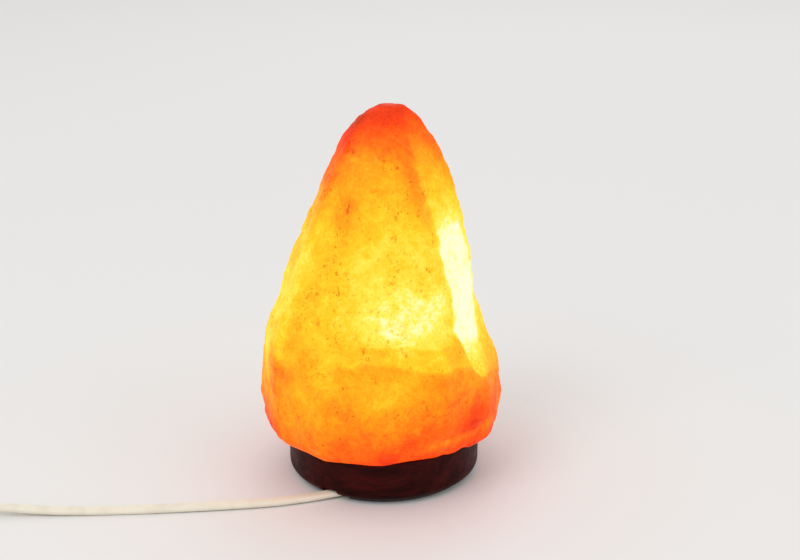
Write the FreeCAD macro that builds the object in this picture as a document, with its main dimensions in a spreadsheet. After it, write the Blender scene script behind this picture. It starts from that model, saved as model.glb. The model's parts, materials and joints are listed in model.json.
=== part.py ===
import FreeCAD, Part
import Sketcher
import math
import os
import random
from FreeCAD import Placement, Rotation, Vector

# Salt crystal lamp: a rock of salt on a turned wooden base, lit from inside by a small bulb.
# The origin is at the centre of the base on the table, +Z up, the cord leaves towards -X.

SIZES = [
    ("foot_height", 2.0, "felt ring under the base"),
    ("foot_margin", 0.8, "felt ring inside the rim's flat underside, on either side"),
    ("base_radius", 50.0, "turned wooden base"),
    ("base_thickness", 22.0, "turned wooden base"),
    ("base_edge", 4.5, "rounding of the lower edge"),
    ("base_lip", 1.2, "rounding of the upper edge"),
    ("recess_radius", 36.0, "round recess in the underside"),
    ("recess_depth", 9.0, "round recess in the underside"),
    ("base_bore", 20.0, "radius of the hole for the bulb holder"),
    ("notch_width", 8.0, "slot in the rim for the cord"),
    ("notch_height", 3.6, "slot in the rim for the cord"),
    ("notch_heading", 200.0, "direction in which the slot leaves, degrees"),
    ("notch_offset", 28.9, "distance of the slot's middle from the centre"),
    ("screw_circle", 31.0, "radius of the circle of the base screws"),
    ("screw_start", 30.0, "direction of the first base screw, degrees"),
    ("screw_radius", 2.0, "base screws"),
    ("screw_length", 31.0, "base screws, under the head"),
    ("screw_head", 3.8, "radius of a screw head"),
    ("head_height", 2.2, "height of a screw head"),
    ("anchor_radius", 3.6, "plastic anchors in the crystal"),
    ("anchor_length", 22.0, "plastic anchors in the crystal"),
    ("crystal_height", 172.0, "crystal, from the base to its peak"),
    ("crystal_width", 126.0, "crystal, left to right"),
    ("crystal_depth", 122.0, "crystal, front to back"),
    ("hewn_relief", 0.018, "crystal, how far its corners stand in or out, as a share of their radius"),
    ("cavity_radius", 23.0, "hole drilled up into the crystal"),
    ("cavity_depth", 90.0, "hole drilled up into the crystal"),
    ("cap_clearance", 1.2, "holder cap above the table"),
    ("cap_radius", 14.0, "wiring cup under the holder"),
    ("wall", 1.4, "wall of the plastic mouldings"),
    ("flange_radius", 26.0, "flange that closes the hole from below"),
    ("flange_thickness", 1.6, "flange that closes the hole from below"),
    ("flange_gap", 0.2, "flange under the wood"),
    ("holder_radius", 13.2, "bulb holder tube"),
    ("holder_height", 41.0, "bulb holder tube"),
    ("clip_width", 8.0, "spring wings that grip the hole"),
    ("clip_thickness", 0.6, "spring wings that grip the hole"),
    ("clip_clearance", 0.25, "spring wings inside the hole"),
    ("carrier_level", 11.0, "contact carrier above the flange"),
    ("carrier_height", 7.0, "contact carrier"),
    ("slip", 0.2, "gap between a moulding and what it holds"),
    ("thread_radius", 6.95, "screw cap of the bulb"),
    ("thread_play", 0.35, "screw cap inside the screw shell"),
    ("thread_length", 19.0, "screw shell"),
    ("sheet", 0.35, "brass and steel sheet of the contacts"),
    ("bulb_length", 57.0, "bulb from tip to crown"),
    ("bulb_radius", 13.0, "bulb glass"),
    ("glass_wall", 0.7, "bulb glass"),
    ("bulb_cap_length", 20.0, "screw cap with its tip"),
    ("cord_width", 5.6, "flat twin cord"),
    ("cord_height", 3.2, "flat twin cord"),
    ("core_radius", 1.15, "one insulated core"),
    ("cord_exit_level", 4.8, "middle of the cord in the wiring cup"),
    ("coil_radius", 43.5, "outermost turn of the coil, at the cord's middle"),
    ("coil_gap", 0.6, "gap between turns and between layers"),
    ("tie_width", 4.0, "band round the coil"),
    ("tie_thickness", 0.8, "band round the coil"),
    ("tie_play", 0.35, "band round the coil, clear of the cord"),
    ("coil_climb_inset", 2.4, "how far inside the inmost turn the cord climbs to the next layer"),
    ("switch_length", 58.0, "in-line switch"),
    ("switch_width", 27.0, "in-line switch"),
    ("switch_tray", 8.0, "lower half of the switch case"),
    ("switch_lid", 11.0, "upper half of the switch case"),
    ("switch_wall", 1.8, "switch case"),
    ("switch_rounding", 1.5, "rounding of the switch case's upper and lower edges"),
    ("rocker_length", 22.0, "rocker button"),
    ("rocker_width", 12.0, "rocker button"),
    ("rocker_tilt", 11.0, "rocker from its middle to either stop, degrees"),
    ("rocker_play", 0.4, "rocker in its window"),
    ("pin_radius", 1.0, "rocker pivot pin"),
    ("pin_play", 0.05, "rocker on its pin"),
    ("pivot_level", 15.0, "rocker pivot above the table"),
    ("relief_length", 18.0, "tapered sleeves on the cord"),
    ("plug_thickness", 13.7, "plug body"),
    ("plug_width", 35.0, "plug body at its face"),
    ("plug_length", 34.0, "plug body"),
    ("plug_rounding", 2.4, "rounding of the plug body's long edges"),
    ("plug_pin_radius", 2.0, "plug pins"),
    ("plug_pin_length", 19.0, "plug pins"),
    ("plug_pin_spacing", 18.6, "plug pins"),
    ("sleeve_length", 10.0, "insulating sleeves on the plug pins"),
    ("plug_heading", 8.0, "direction in which the plug lies, degrees from +X"),
]

# The crystal's outline: for each level, as a share of its height, the distance of the surface from
# the lamp's axis in twelve directions 30 degrees apart, counter-clockwise from +X and the front at
# 270 degrees, as a share of half its width or depth.
CRYSTAL = [
    (0.000, (0.84, 0.84, 0.84, 0.83, 0.84, 0.88, 0.91, 0.92, 0.91, 0.87, 0.82, 0.84)),
    (0.030, (0.96, 0.93, 0.92, 0.92, 0.93, 0.97, 0.99, 1.00, 0.98, 0.95, 0.91, 0.96)),
    (0.105, (0.98, 0.97, 0.96, 0.95, 0.98, 1.01, 1.02, 1.02, 1.03, 1.00, 1.00, 1.00)),
    (0.215, (0.95, 0.95, 0.98, 0.95, 0.95, 1.00, 1.02, 1.02, 1.01, 1.01, 1.00, 0.96)),
    (0.320, (0.85, 0.88, 0.95, 0.90, 0.92, 0.95, 0.97, 0.99, 0.97, 0.98, 0.95, 0.81)),
    (0.425, (0.74, 0.80, 0.88, 0.82, 0.80, 0.88, 0.87, 0.90, 0.85, 0.83, 0.84, 0.70)),
    (0.560, (0.71, 0.72, 0.78, 0.70, 0.68, 0.76, 0.74, 0.77, 0.72, 0.66, 0.71, 0.63)),
    (0.690, (0.63, 0.62, 0.62, 0.56, 0.56, 0.64, 0.59, 0.62, 0.58, 0.52, 0.58, 0.53)),
    (0.810, (0.54, 0.48, 0.44, 0.42, 0.44, 0.47, 0.44, 0.47, 0.42, 0.38, 0.43, 0.42)),
    (0.905, (0.41, 0.35, 0.28, 0.27, 0.29, 0.33, 0.32, 0.31, 0.27, 0.25, 0.27, 0.30)),
    (0.965, (0.29, 0.24, 0.17, 0.15, 0.16, 0.19, 0.19, 0.18, 0.15, 0.14, 0.16, 0.20)),
    (1.000, (0.17, 0.14, 0.10, 0.06, 0.04, 0.03, 0.03, 0.03, 0.04, 0.06, 0.09, 0.13)),
]
CRYSTAL_SEED = 7

# The cord from the wiring cup to the switch, and from the switch to the coil: x, y, z of each point.
CORD_OUT = [
    (0.0, -8.4, 4.8), (0.0, -18.2, 4.8), (-3.9, -27.6, 4.3), (-11.1, -34.8, 3.3), (-23.0, -39.2, 2.2),
    (-38.5, -44.4, 1.7), (-55.0, -48.9, 1.6), (-74.0, -51.8, 1.6), (-99.0, -54.6, 1.6),
    (-128.0, -56.8, 1.6), (-158.0, -58.3, 1.6), (-179.0, -58.4, 1.6), (-192.0, -58.6, 1.6),
    (-205.0, -58.6, 5.0), (-215.0, -58.6, 5.0),
]
CORD_IN = [
    (-309.0, -58.6, 5.0), (-315.0, -58.6, 5.0), (-327.0, -58.6, 1.6), (-334.4, -58.6, 1.6),
]
SWITCH_X = -262.0
CORD_Y = -58.6
COIL_X = -340.0
COIL_HALF_TURNS = 7
TAIL_BEND = -328.0
TAIL_RUN = 13.0
FLOOR_LEVEL = 1.6
SWITCH_ENTRY = 5.0

doc = FreeCAD.newDocument("salt_crystal_lamp")
sheet = doc.addObject("Spreadsheet::Sheet", "Sizes")
for row, (alias, value, note) in enumerate(SIZES, start=1):
    sheet.set(f"A{row}", note)
    sheet.set(f"B{row}", str(value))
    sheet.setAlias(f"B{row}", alias)
doc.recompute()


class Dim:
    """A size: its value now, and the text that ties a property to the sheet."""

    def __init__(self, value, text=None):
        self.value = float(value)
        self.text = text or f"({self.value:.6f})"

    def joined(self, other, sign, value):
        return Dim(value, f"({self.text} {sign} {other.text})")

    def __add__(self, other):
        other = dim(other)
        return self.joined(other, "+", self.value + other.value)

    def __sub__(self, other):
        other = dim(other)
        return self.joined(other, "-", self.value - other.value)

    def __mul__(self, other):
        other = dim(other)
        return self.joined(other, "*", self.value * other.value)

    def __truediv__(self, other):
        other = dim(other)
        return self.joined(other, "/", self.value / other.value)

    def __radd__(self, other):
        return dim(other) + self

    def __rsub__(self, other):
        return dim(other) - self

    def __rmul__(self, other):
        return dim(other) * self

    def __neg__(self):
        return dim(0) - self


def dim(value):
    return value if isinstance(value, Dim) else Dim(value)


class Sheet:
    """Every size by its name, as a Dim."""


size = Sheet()
for alias, value, note in SIZES:
    setattr(size, alias, Dim(sheet.get(alias), f"Sizes.{alias}"))

AXES = {"z": Rotation(), "x": Rotation(Vector(0, 1, 0), 90), "y": Rotation(Vector(1, 0, 0), -90)}
NODES = []


def tie(obj, **properties):
    for name, value in properties.items():
        obj.setExpression(name, dim(value).text)
    return obj


def place(obj, at, axis="z", turn=0.0):
    obj.Placement = Placement(Vector(), Rotation(Vector(0, 0, 1), turn).multiply(AXES[axis]))
    for letter, value in zip("xyz", at):
        obj.setExpression(f"Placement.Base.{letter}", dim(value).text)
    return obj


def cylinder(name, radius, height, at=(0, 0, 0), axis="z", turn=0.0):
    obj = tie(doc.addObject("Part::Cylinder", name), Radius=radius, Height=height)
    return place(obj, at, axis, turn)


def cone(name, low, high, height, at=(0, 0, 0), axis="z", turn=0.0):
    obj = tie(doc.addObject("Part::Cone", name), Radius1=low, Radius2=high, Height=height)
    return place(obj, at, axis, turn)


def box(name, length, width, height, middle):
    """A box centred on x and y, standing on z."""
    obj = tie(doc.addObject("Part::Box", name), Length=length, Width=width, Height=height)
    x, y, z = (dim(value) for value in middle)
    return place(obj, (x - dim(length) / 2, y - dim(width) / 2, z))


def fuse(name, pieces):
    obj = doc.addObject("Part::MultiFuse", name)
    obj.Shapes = pieces
    return obj


def cut(name, base, tools):
    obj = doc.addObject("Part::Cut", name)
    obj.Base = base
    obj.Tool = tools[0] if len(tools) == 1 else fuse(name + "_tools", tools)
    return obj


def group(name, pieces):
    obj = doc.addObject("Part::Compound", name)
    obj.Links = pieces
    return obj


def solid(name, shape):
    obj = doc.addObject("Part::Feature", name)
    obj.Shape = shape
    return obj


def node(obj, name):
    obj.Label = name
    NODES.append((name, obj))
    return obj


def plane_of(body, role):
    return next(item for item in body.Origin.OriginFeatures if item.Role == role)


def outline(body, name, role, points, level=0):
    """A closed outline on one of the body's planes, every corner tied to the sheet."""
    sketch = body.newObject("Sketcher::SketchObject", name)
    sketch.AttachmentSupport = [(plane_of(body, role), "")]
    sketch.MapMode = "FlatFace"
    sketch.setExpression("AttachmentOffset.Base.z", dim(level).text)
    corners = [(dim(x), dim(y)) for x, y in points]
    places = [Vector(x.value, y.value, 0) for x, y in corners]
    for i, place_now in enumerate(places):
        sketch.addGeometry(Part.LineSegment(place_now, places[(i + 1) % len(places)]), False)
    for i in range(len(places)):
        after = (i + 1) % len(places)
        sketch.addConstraint(Sketcher.Constraint("Coincident", i, 2, after, 1))
    for i, (x, y) in enumerate(corners):
        for kind, axis, value in (("DistanceX", -2, x), ("DistanceY", -1, y)):
            if value.text == "(0.000000)":
                sketch.addConstraint(Sketcher.Constraint("PointOnObject", i, 1, axis))
            else:
                number = sketch.addConstraint(Sketcher.Constraint(kind, -1, 1, i, 1, value.value))
                sketch.setExpression(f"Constraints[{number}]", value.text)
    return sketch


def turned(name, points):
    """A body turned on a lathe: its outline is radius and height."""
    body = doc.addObject("PartDesign::Body", name)
    sketch = outline(body, name + "_outline", "XZ_Plane", points)
    revolution = body.newObject("PartDesign::Revolution", name + "_turned")
    revolution.Profile = sketch
    revolution.ReferenceAxis = (sketch, ["V_Axis"])
    revolution.Angle = 360
    return body


def extruded(name, role, points, length, level=0, both=False):
    body = doc.addObject("PartDesign::Body", name)
    pad = body.newObject("PartDesign::Pad", name + "_pad")
    pad.Profile = outline(body, name + "_outline", role, points, level)
    tie(pad, Length=length)
    pad.Midplane = both
    return body


def rounded(body, name, radius, test):
    """Rounds the edges of the body's last feature that pass the test."""
    doc.recompute()
    base = body.Tip
    edges = [f"Edge{i}" for i, edge in enumerate(base.Shape.Edges, start=1) if test(edge)]
    fillet = body.newObject("PartDesign::Fillet", name)
    fillet.Base = (base, edges)
    tie(fillet, Radius=radius)
    return fillet


def around(count, circle, start):
    """Places evenly spaced on a circle, as tied x and y."""
    for i in range(count):
        turn = f"({start.text} + {360.0 * i / count:.3f}) * 1deg"
        angle = math.radians(start.value + 360.0 * i / count)
        x = Dim(circle.value * math.cos(angle), f"({circle.text} * cos({turn}))")
        y = Dim(circle.value * math.sin(angle), f"({circle.text} * sin({turn}))")
        yield x, y


# Levels that the pieces share.
base_low = size.foot_height
base_top = base_low + size.base_thickness
recess_top = base_low + size.recess_depth
flange_top = recess_top - size.flange_gap
flange_low = flange_top - size.flange_thickness
cup_low = size.cap_clearance
carrier_low = flange_top + size.carrier_level
carrier_top = carrier_low + size.carrier_height
bulb_tip = carrier_top + 1.5
cap_top = bulb_tip + size.bulb_cap_length
bulb_crown = bulb_tip + size.bulb_length


# Base: a turned disc with a round recess and a bore, a rounded lower edge, a slot for the cord and
# three screw holes.
base = turned("base", [
    (size.base_bore, recess_top), (size.recess_radius, recess_top), (size.recess_radius, base_low),
    (size.base_radius, base_low), (size.base_radius, base_top), (size.base_bore, base_top),
])
rounded(base, "base_lower_edge", size.base_edge, lambda edge: (
    abs(edge.BoundBox.ZMax - base_low.value) < 0.01
    and edge.BoundBox.XLength > 2 * size.base_radius.value - 0.1))
rounded(base, "base_upper_edge", size.base_lip, lambda edge: (
    abs(edge.BoundBox.ZMin - base_top.value) < 0.01
    and edge.BoundBox.XLength > 2 * size.base_radius.value - 0.1))
slot = box("cord_slot", size.base_radius, size.notch_width, size.notch_height * 2,
           (size.base_radius / 2, size.notch_offset, base_low - size.notch_height))
slot_holder = group("cord_slot_turned", [slot])
slot_holder.setExpression("Placement.Rotation.Angle", size.notch_heading.text)
screw_holes = [
    cylinder(f"screw_hole_{i}", size.screw_radius + size.slip, size.base_thickness * 2, (x, y, 0))
    for i, (x, y) in enumerate(around(3, size.screw_circle, size.screw_start))
]
node(cut("base_cut", base, [slot_holder] + screw_holes), "wooden_base")

# Felt ring glued under the rim, open where the cord leaves.
felt_inner = size.recess_radius + size.foot_margin
felt_outer = size.base_radius - size.base_edge - size.foot_margin
felt = turned("felt", [
    (felt_inner, 0), (felt_outer, 0), (felt_outer, base_low), (felt_inner, base_low),
])
node(cut("felt_cut", felt, [slot_holder]), "felt_foot")


def screw(name, shank, length, head, head_height, at, direction=1):
    """A cross-head screw standing on its head's inner face, pointing up, or down for direction -1."""
    x, y, z = at
    recess_height = dim(head_height) * 0.6
    if direction > 0:
        shank_low, head_low, recess_low = dim(z), dim(z) - head_height, dim(z) - head_height
    else:
        shank_low, head_low = dim(z) - length, dim(z)
        recess_low = head_low + head_height - recess_height
    parts = [cylinder(name + "_shank", shank, length, (x, y, shank_low)),
             cylinder(name + "_head", head, head_height, (x, y, head_low))]
    arm, blade = dim(head) * 1.1, dim(head) * 0.28
    cross = [box(f"{name}_recess_{i}", long, wide, recess_height, (x, y, recess_low))
             for i, (long, wide) in enumerate(((arm, blade), (blade, arm)))]
    return cut(name, fuse(name + "_body", parts), cross)


# Three screws go up through the wood into plastic anchors in the crystal.
base_screws = [
    screw(f"base_screw_{i}", size.screw_radius, size.screw_length, size.screw_head,
          size.head_height, (x, y, recess_top))
    for i, (x, y) in enumerate(around(3, size.screw_circle, size.screw_start))
]
node(group("base_screw_set", base_screws), "base_screws")
anchors = [
    cut(f"anchor_{i}",
        cylinder(f"anchor_body_{i}", size.anchor_radius, size.anchor_length, (x, y, base_top)),
        [cylinder(f"anchor_bore_{i}", size.screw_radius + size.pin_play, size.anchor_length,
                  (x, y, base_top))])
    for i, (x, y) in enumerate(around(3, size.screw_circle, size.screw_start))
]
node(group("anchor_set", anchors), "screw_anchors")


def crystal_shape():
    """A stack of rings with hewn corners, joined by triangles and closed by flat ends."""
    scatter = random.Random(CRYSTAL_SEED)
    relief = size.hewn_relief.value
    rings = []
    for share, radii in CRYSTAL:
        level = base_top.value + share * size.crystal_height.value
        corners = []
        for i, radius in enumerate(radii):
            angle = 2 * math.pi * i / len(radii)
            corners.append(Vector(size.crystal_width.value / 2 * radius * math.cos(angle),
                                  size.crystal_depth.value / 2 * radius * math.sin(angle), 0))
        ring = []
        for corner, after in zip(corners, corners[1:] + corners[:1]):
            for point in (corner, (corner + after) * 0.5):
                ring.append(point * (1 + relief * scatter.uniform(-1, 1)) + Vector(0, 0, level))
        rings.append(ring)
    faces = [Part.Face(Part.makePolygon(rings[0] + rings[0][:1])),
             Part.Face(Part.makePolygon(rings[-1] + rings[-1][:1]))]
    for low, high in zip(rings, rings[1:]):
        for i in range(len(low)):
            after = (i + 1) % len(low)
            for corners in ((low[i], low[after], high[after]), (low[i], high[after], high[i])):
                faces.append(Part.Face(Part.makePolygon(list(corners) + [corners[0]])))
    return Part.Solid(Part.Shell(faces))


# Crystal: a faceted lump with a blind hole for the bulb and three holes for the anchors.
anchor_room = 10.0
cavity = cylinder("cavity", size.cavity_radius, size.cavity_depth + 1, (0, 0, base_top - 1))
anchor_holes = [
    cylinder(f"anchor_hole_{i}", size.anchor_radius, size.anchor_length + anchor_room,
             (x, y, base_top - 1))
    for i, (x, y) in enumerate(around(3, size.screw_circle, size.screw_start))
]
lump = solid("lump", crystal_shape())
node(cut("crystal", lump, [cavity] + anchor_holes), "salt_crystal")

# Holder cap: a wiring cup under the base with the flange that closes the hole, and an outlet.
cap_bore = size.cap_radius - size.wall
cup_floor = cup_low + size.wall
cap = turned("cap", [
    (0, cup_low), (size.cap_radius, cup_low), (size.cap_radius, flange_low),
    (size.flange_radius, flange_low), (size.flange_radius, flange_top), (cap_bore, flange_top),
    (cap_bore, cup_floor), (0, cup_floor),
])
outlet_height = size.cord_height + size.slip * 4
outlet = box("outlet", size.cord_width + size.slip * 4, size.wall * 3, outlet_height,
             (0, -(size.cap_radius - size.wall / 2), size.cord_exit_level - outlet_height / 2))
node(cut("cap_cut", cap, [outlet]), "holder_cap")

# Holder tube, standing on the flange.
holder_top = flange_top + size.holder_height
holder_bore = size.holder_radius - size.wall
mouth = size.thread_radius + size.thread_play + size.sheet + 1.6
node(turned("holder", [
    (holder_bore, flange_top), (size.holder_radius, flange_top), (size.holder_radius, holder_top),
    (mouth, holder_top), (mouth, holder_top - size.wall), (holder_bore, holder_top - size.wall),
]), "holder_shell")

# Spring wings: steel strips riveted to the flange that bow out against the hole's wall.
half_chord = Dim(math.sqrt(size.base_bore.value ** 2 - (size.clip_width.value / 2) ** 2),
                 "sqrt(Sizes.base_bore^2 - (Sizes.clip_width / 2)^2)")
clip_out = half_chord - size.clip_clearance
clip_in = clip_out - size.clip_thickness
clip_foot = size.holder_radius + 0.6
clip_bend = flange_top + 6.2
clip_height = 19.0
clip_tip = flange_top + clip_height
wings = []
for side in (1, -1):
    strip = [
        (clip_foot, flange_top), (clip_out - 2.1, flange_top), (clip_out, clip_bend),
        (clip_out, clip_bend + 2), (clip_out - 4.4, clip_tip), (clip_in - 4.4, clip_tip),
        (clip_in, clip_bend + 1.8), (clip_in, clip_bend + 0.2),
        (clip_in - 1.9, flange_top + size.clip_thickness),
        (clip_foot, flange_top + size.clip_thickness),
    ]
    name = "wing_right" if side > 0 else "wing_left"
    wings.append(extruded(name, "XZ_Plane", [(dim(x) * side, z) for x, z in strip],
                          size.clip_width, both=True))
node(group("wing_pair", wings), "spring_wings")
rivet_x = (clip_foot + clip_out - 2.1) / 2
rivets = [
    cylinder(f"rivet_{side}", 0.9, 0.7, (rivet_x * side, 0, flange_top + size.clip_thickness))
    for side in (1, -1)
]
node(group("rivet_pair", rivets), "wing_rivets")

# Contact carrier: a steatite disc that holds the screw shell, with a slot for each terminal.
carrier_radius = holder_bore - size.slip
terminal_x = 6.0
terminal_size = 4.6
carrier = cylinder("carrier", carrier_radius, size.carrier_height, (0, 0, carrier_low))
terminal_slots = [
    box(f"terminal_slot_{side}", terminal_size + 0.4, terminal_size + 0.4, 4.4,
        (terminal_x * side, 0, carrier_low - 1)) for side in (1, -1)
]
node(cut("carrier_cut", carrier, terminal_slots), "contact_carrier")
shell_out = size.thread_radius + size.thread_play + size.sheet
node(turned("shell", [
    (3.2, carrier_top), (shell_out, carrier_top), (shell_out, carrier_top + size.thread_length),
    (shell_out - size.sheet, carrier_top + size.thread_length),
    (shell_out - size.sheet, carrier_top + size.sheet), (3.2, carrier_top + size.sheet),
]), "screw_shell")
node(turned("leaf", [
    (0, carrier_top), (2.0, carrier_top), (2.0, carrier_top + 0.9), (1.2, bulb_tip - size.slip),
    (0, bulb_tip - size.slip),
]), "centre_contact")
blocks = []
terminal_screws = []
clamp_level_z = carrier_low - 2.2
for side in (1, -1):
    x = terminal_x * side
    block = box(f"block_{side}", terminal_size, terminal_size, 7.2, (x, 0, carrier_low - 4))
    wire_hole = cylinder(f"wire_hole_{side}", size.core_radius + 0.1, 4.0, (x, 0, carrier_low - 4.2))
    screw_hole = cylinder(f"terminal_hole_{side}", 1.3, 6.0, (x, -6.0, clamp_level_z), "y")
    blocks.append(cut(f"block_cut_{side}", block, [wire_hole, screw_hole]))
    shank = cylinder(f"clamp_shank_{side}", 1.25, 2.4, (x, -3.6, clamp_level_z), "y")
    head = cylinder(f"clamp_head_{side}", 2.0, 1.2, (x, -4.0, clamp_level_z), "y")
    notch = box(f"clamp_slot_{side}", 0.5, 1.2, 4.0, (x, -4.0, clamp_level_z - 2.0))
    terminal_screws.append(cut(f"clamp_screw_{side}", fuse(f"clamp_parts_{side}", [shank, head]),
                               [notch]))
node(group("block_pair", blocks), "terminal_blocks")
node(group("terminal_screw_pair", terminal_screws), "terminal_screws")


def rounded_path(points, share=0.45):
    """Straight runs joined by tangent arcs, each as large as its two runs allow."""
    corners = [Vector(*point) for point in points]
    edges = []
    radii = []
    start = corners[0]
    for before, corner, after in zip(corners, corners[1:], corners[2:]):
        inward = (corner - before).normalize()
        onward = (after - corner).normalize()
        half = inward.getAngle(onward) / 2
        reach = share * min((corner - before).Length, (after - corner).Length)
        radius = reach / math.tan(half)
        middle = corner + (onward - inward).normalize() * (radius / math.cos(half) - radius)
        first = corner - inward * reach
        last = corner + onward * reach
        edges.append(Part.LineSegment(start, first).toShape())
        edges.append(Part.Arc(first, middle, last).toShape())
        radii.append(radius)
        start = last
    edges.append(Part.LineSegment(start, corners[-1]).toShape())
    return Part.Wire(edges), radii


def flat_section(width, height, at, heading):
    """The cord's section, two round edges joined by flats, square to a level heading."""
    radius = height / 2
    reach = width / 2 - radius
    low = [Vector(0, -reach, -radius), Vector(0, reach, -radius)]
    high = [Vector(0, reach, radius), Vector(0, -reach, radius)]
    edges = [
        Part.LineSegment(low[0], low[1]).toShape(),
        Part.Arc(low[1], Vector(0, reach + radius, 0), high[0]).toShape(),
        Part.LineSegment(high[0], high[1]).toShape(),
        Part.Arc(high[1], Vector(0, -reach - radius, 0), low[0]).toShape(),
    ]
    wire = Part.Wire(edges)
    wire.Placement = Placement(Vector(*at), Rotation(Vector(1, 0, 0), Vector(*heading)))
    return wire


def tube(path, section, name, level=False):
    """Sweeps the section along the path, and compares its volume with section times length."""
    if level:
        sweep = Part.BRepOffsetAPI.MakePipeShell(path)
        sweep.setBiNormalMode(Vector(0, 0, 1))
        sweep.add(section, False, False)
        sweep.build()
        sweep.makeSolid()
        shape = sweep.shape()
    else:
        shape = path.makePipeShell([section], True, False)
    expected = Part.Face(section).Area * path.Length
    print(f"{name}: length {path.Length:.1f}, volume over section times length "
          f"{shape.Volume / expected:.4f}")
    return shape


def cord_tube(name, points):
    path, radii = rounded_path(points)
    print(name, "radii", " ".join(f"{radius:.0f}" for radius in radii))
    heading = Vector(*points[1]) - Vector(*points[0])
    section = flat_section(size.cord_width.value, size.cord_height.value, points[0], heading)
    return tube(path, section, name, level=True)


# Cores of the stripped cord inside the holder, from the clamp up to the terminals.
core_end = carrier_low - 0.4
core_start = CORD_OUT[0][1] + 0.45
cores = []
for side in (1, -1):
    x = terminal_x * side
    middle = size.core_radius.value + 0.15
    path, radii = rounded_path([
        (middle * side, core_start, size.cord_exit_level.value),
        (2.5 * side, -3.5, size.cord_exit_level.value + 0.6),
        (5.0 * side, -0.4, 9.5), (x, 0.0, 12.5), (x, 0.0, core_end.value),
    ])
    ring = Part.Wire(Part.makeCircle(size.core_radius.value, Vector(
        middle * side, core_start, size.cord_exit_level.value), path.Edges[0].tangentAt(0)))
    cores.append(tube(path, ring, "core"))
node(solid("cores", Part.makeCompound(cores)), "holder_cores")

# Cord clamp: a bar across the cord with two screws into the cup.
clamp_y = CORD_OUT[0][1] - 1.0
clamp_level = size.cord_exit_level + size.cord_height / 2 + 0.1
bar = box("clamp_bar", 11.0, 3.0, 1.6, (0, clamp_y, clamp_level))
node(bar, "cord_clamp")
clamp_screws = [
    cylinder(f"cup_screw_{side}", 1.1, clamp_level - cup_floor, (4.2 * side, clamp_y, cup_floor))
    for side in (1, -1)
]
node(group("cup_screws", clamp_screws), "clamp_posts")


def spun(points, wall=0.0):
    """A shell turned about the lamp's axis from a smooth curve through radius and height."""
    outer = Part.BSplineCurve()
    outer.interpolate([Vector(radius, 0, level) for radius, level in points])
    (first, low), (last, high) = points[0], points[-1]
    if wall:
        inner = Part.BSplineCurve()
        inner.interpolate([Vector(max(radius - wall, 0.0), 0, level - wall * (i / (len(points) - 1)))
                           for i, (radius, level) in enumerate(points)])
        ends = [Part.LineSegment(Vector(first, 0, low), Vector(first - wall, 0, low)).toShape(),
                Part.LineSegment(Vector(0, 0, high), Vector(0, 0, high - wall)).toShape()]
        wire = Part.Wire(Part.__sortEdges__([outer.toShape(), inner.toShape()] + ends))
    else:
        corners = [Vector(first, 0, low), Vector(0, 0, low), Vector(0, 0, high)]
        if last:
            corners.append(Vector(last, 0, high))
        wire = Part.Wire(Part.__sortEdges__(
            [outer.toShape()] + Part.makePolygon(corners).Edges))
    turned_shape = Part.Face(wire).revolve(Vector(), Vector(0, 0, 1), 360)
    return turned_shape if turned_shape.ShapeType == "Solid" else turned_shape.Solids[0]


# Bulb: a small pear of glass on a screw cap.
crown = bulb_crown.value
widest = size.bulb_radius.value
neck = cap_top.value
neck_radius = size.thread_radius.value - 0.55
tall = crown - neck
node(solid("glass", spun([
    (neck_radius, neck - 3.0), (neck_radius, neck), (widest * 0.78, neck + tall * 0.15),
    (widest * 0.97, neck + tall * 0.36), (widest, neck + tall * 0.52),
    (widest * 0.90, neck + tall * 0.76), (widest * 0.62, neck + tall * 0.93), (0.0, crown),
], size.glass_wall.value)), "bulb_glass")
cap_low = bulb_tip + 2.5
node(turned("screw_cap", [
    (1.4, cap_low), (4.2, cap_low), (size.thread_radius, cap_low + 2.6),
    (size.thread_radius, cap_top - 1.2), (size.thread_radius + 0.3, cap_top),
    (size.thread_radius - 0.1, cap_top), (size.thread_radius - size.sheet, cap_top - 1.4),
    (size.thread_radius - size.sheet, cap_low + 2.8), (4.0, cap_low + size.sheet),
    (1.4, cap_low + size.sheet),
]), "bulb_screw_cap")
node(turned("insulator", [
    (1.0, bulb_tip + 0.8), (2.4, bulb_tip + 0.8), (4.2, cap_low), (1.0, cap_low),
]), "bulb_insulator")
node(turned("tip_contact", [
    (0, bulb_tip), (1.6, bulb_tip + 0.2), (1.9, bulb_tip + 0.8), (0, bulb_tip + 0.8),
]), "bulb_tip_contact")
stem_length = 15.0
stem_top = neck + stem_length
node(solid("stem", spun([
    (4.6, neck - 1.0), (3.6, neck + 3.0), (2.6, neck + 8.0), (2.3, stem_top - 1.0), (1.6, stem_top),
])), "bulb_stem")
wire_radius = 0.3
filament_level = stem_top + 7.0
leads = []
for side in (1, -1):
    path, radii = rounded_path([(1.0 * side, 0, stem_top + 0.1), (1.2 * side, 0, stem_top + 2.5),
                                (6.0 * side, 0, filament_level)])
    ring = Part.Wire(Part.makeCircle(wire_radius, Vector(1.0 * side, 0, stem_top + 0.1),
                                     path.Edges[0].tangentAt(0)))
    leads.append(tube(path, ring, "lead"))
node(solid("lead_pair", Part.makeCompound(leads)), "bulb_leads")
arch_foot = filament_level + wire_radius + 0.6
arch = Part.Wire(Part.Arc(Vector(-6.0, 0, arch_foot), Vector(0, 0, arch_foot + 2.0),
                          Vector(6.0, 0, arch_foot)).toShape())
ring = Part.Wire(Part.makeCircle(0.45, Vector(-6.0, 0, arch_foot),
                                 arch.Edges[0].tangentAt(0)))
node(solid("glow_wire", tube(arch, ring, "filament")), "bulb_filament")

# Cord: the stretch that shows, a short stretch behind the switch, and the coil put away.
node(solid("cord_out", cord_tube("cord_out", CORD_OUT)), "cord_lamp_side")
node(solid("cord_in", cord_tube("cord_in", CORD_IN)), "cord_plug_side")


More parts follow.
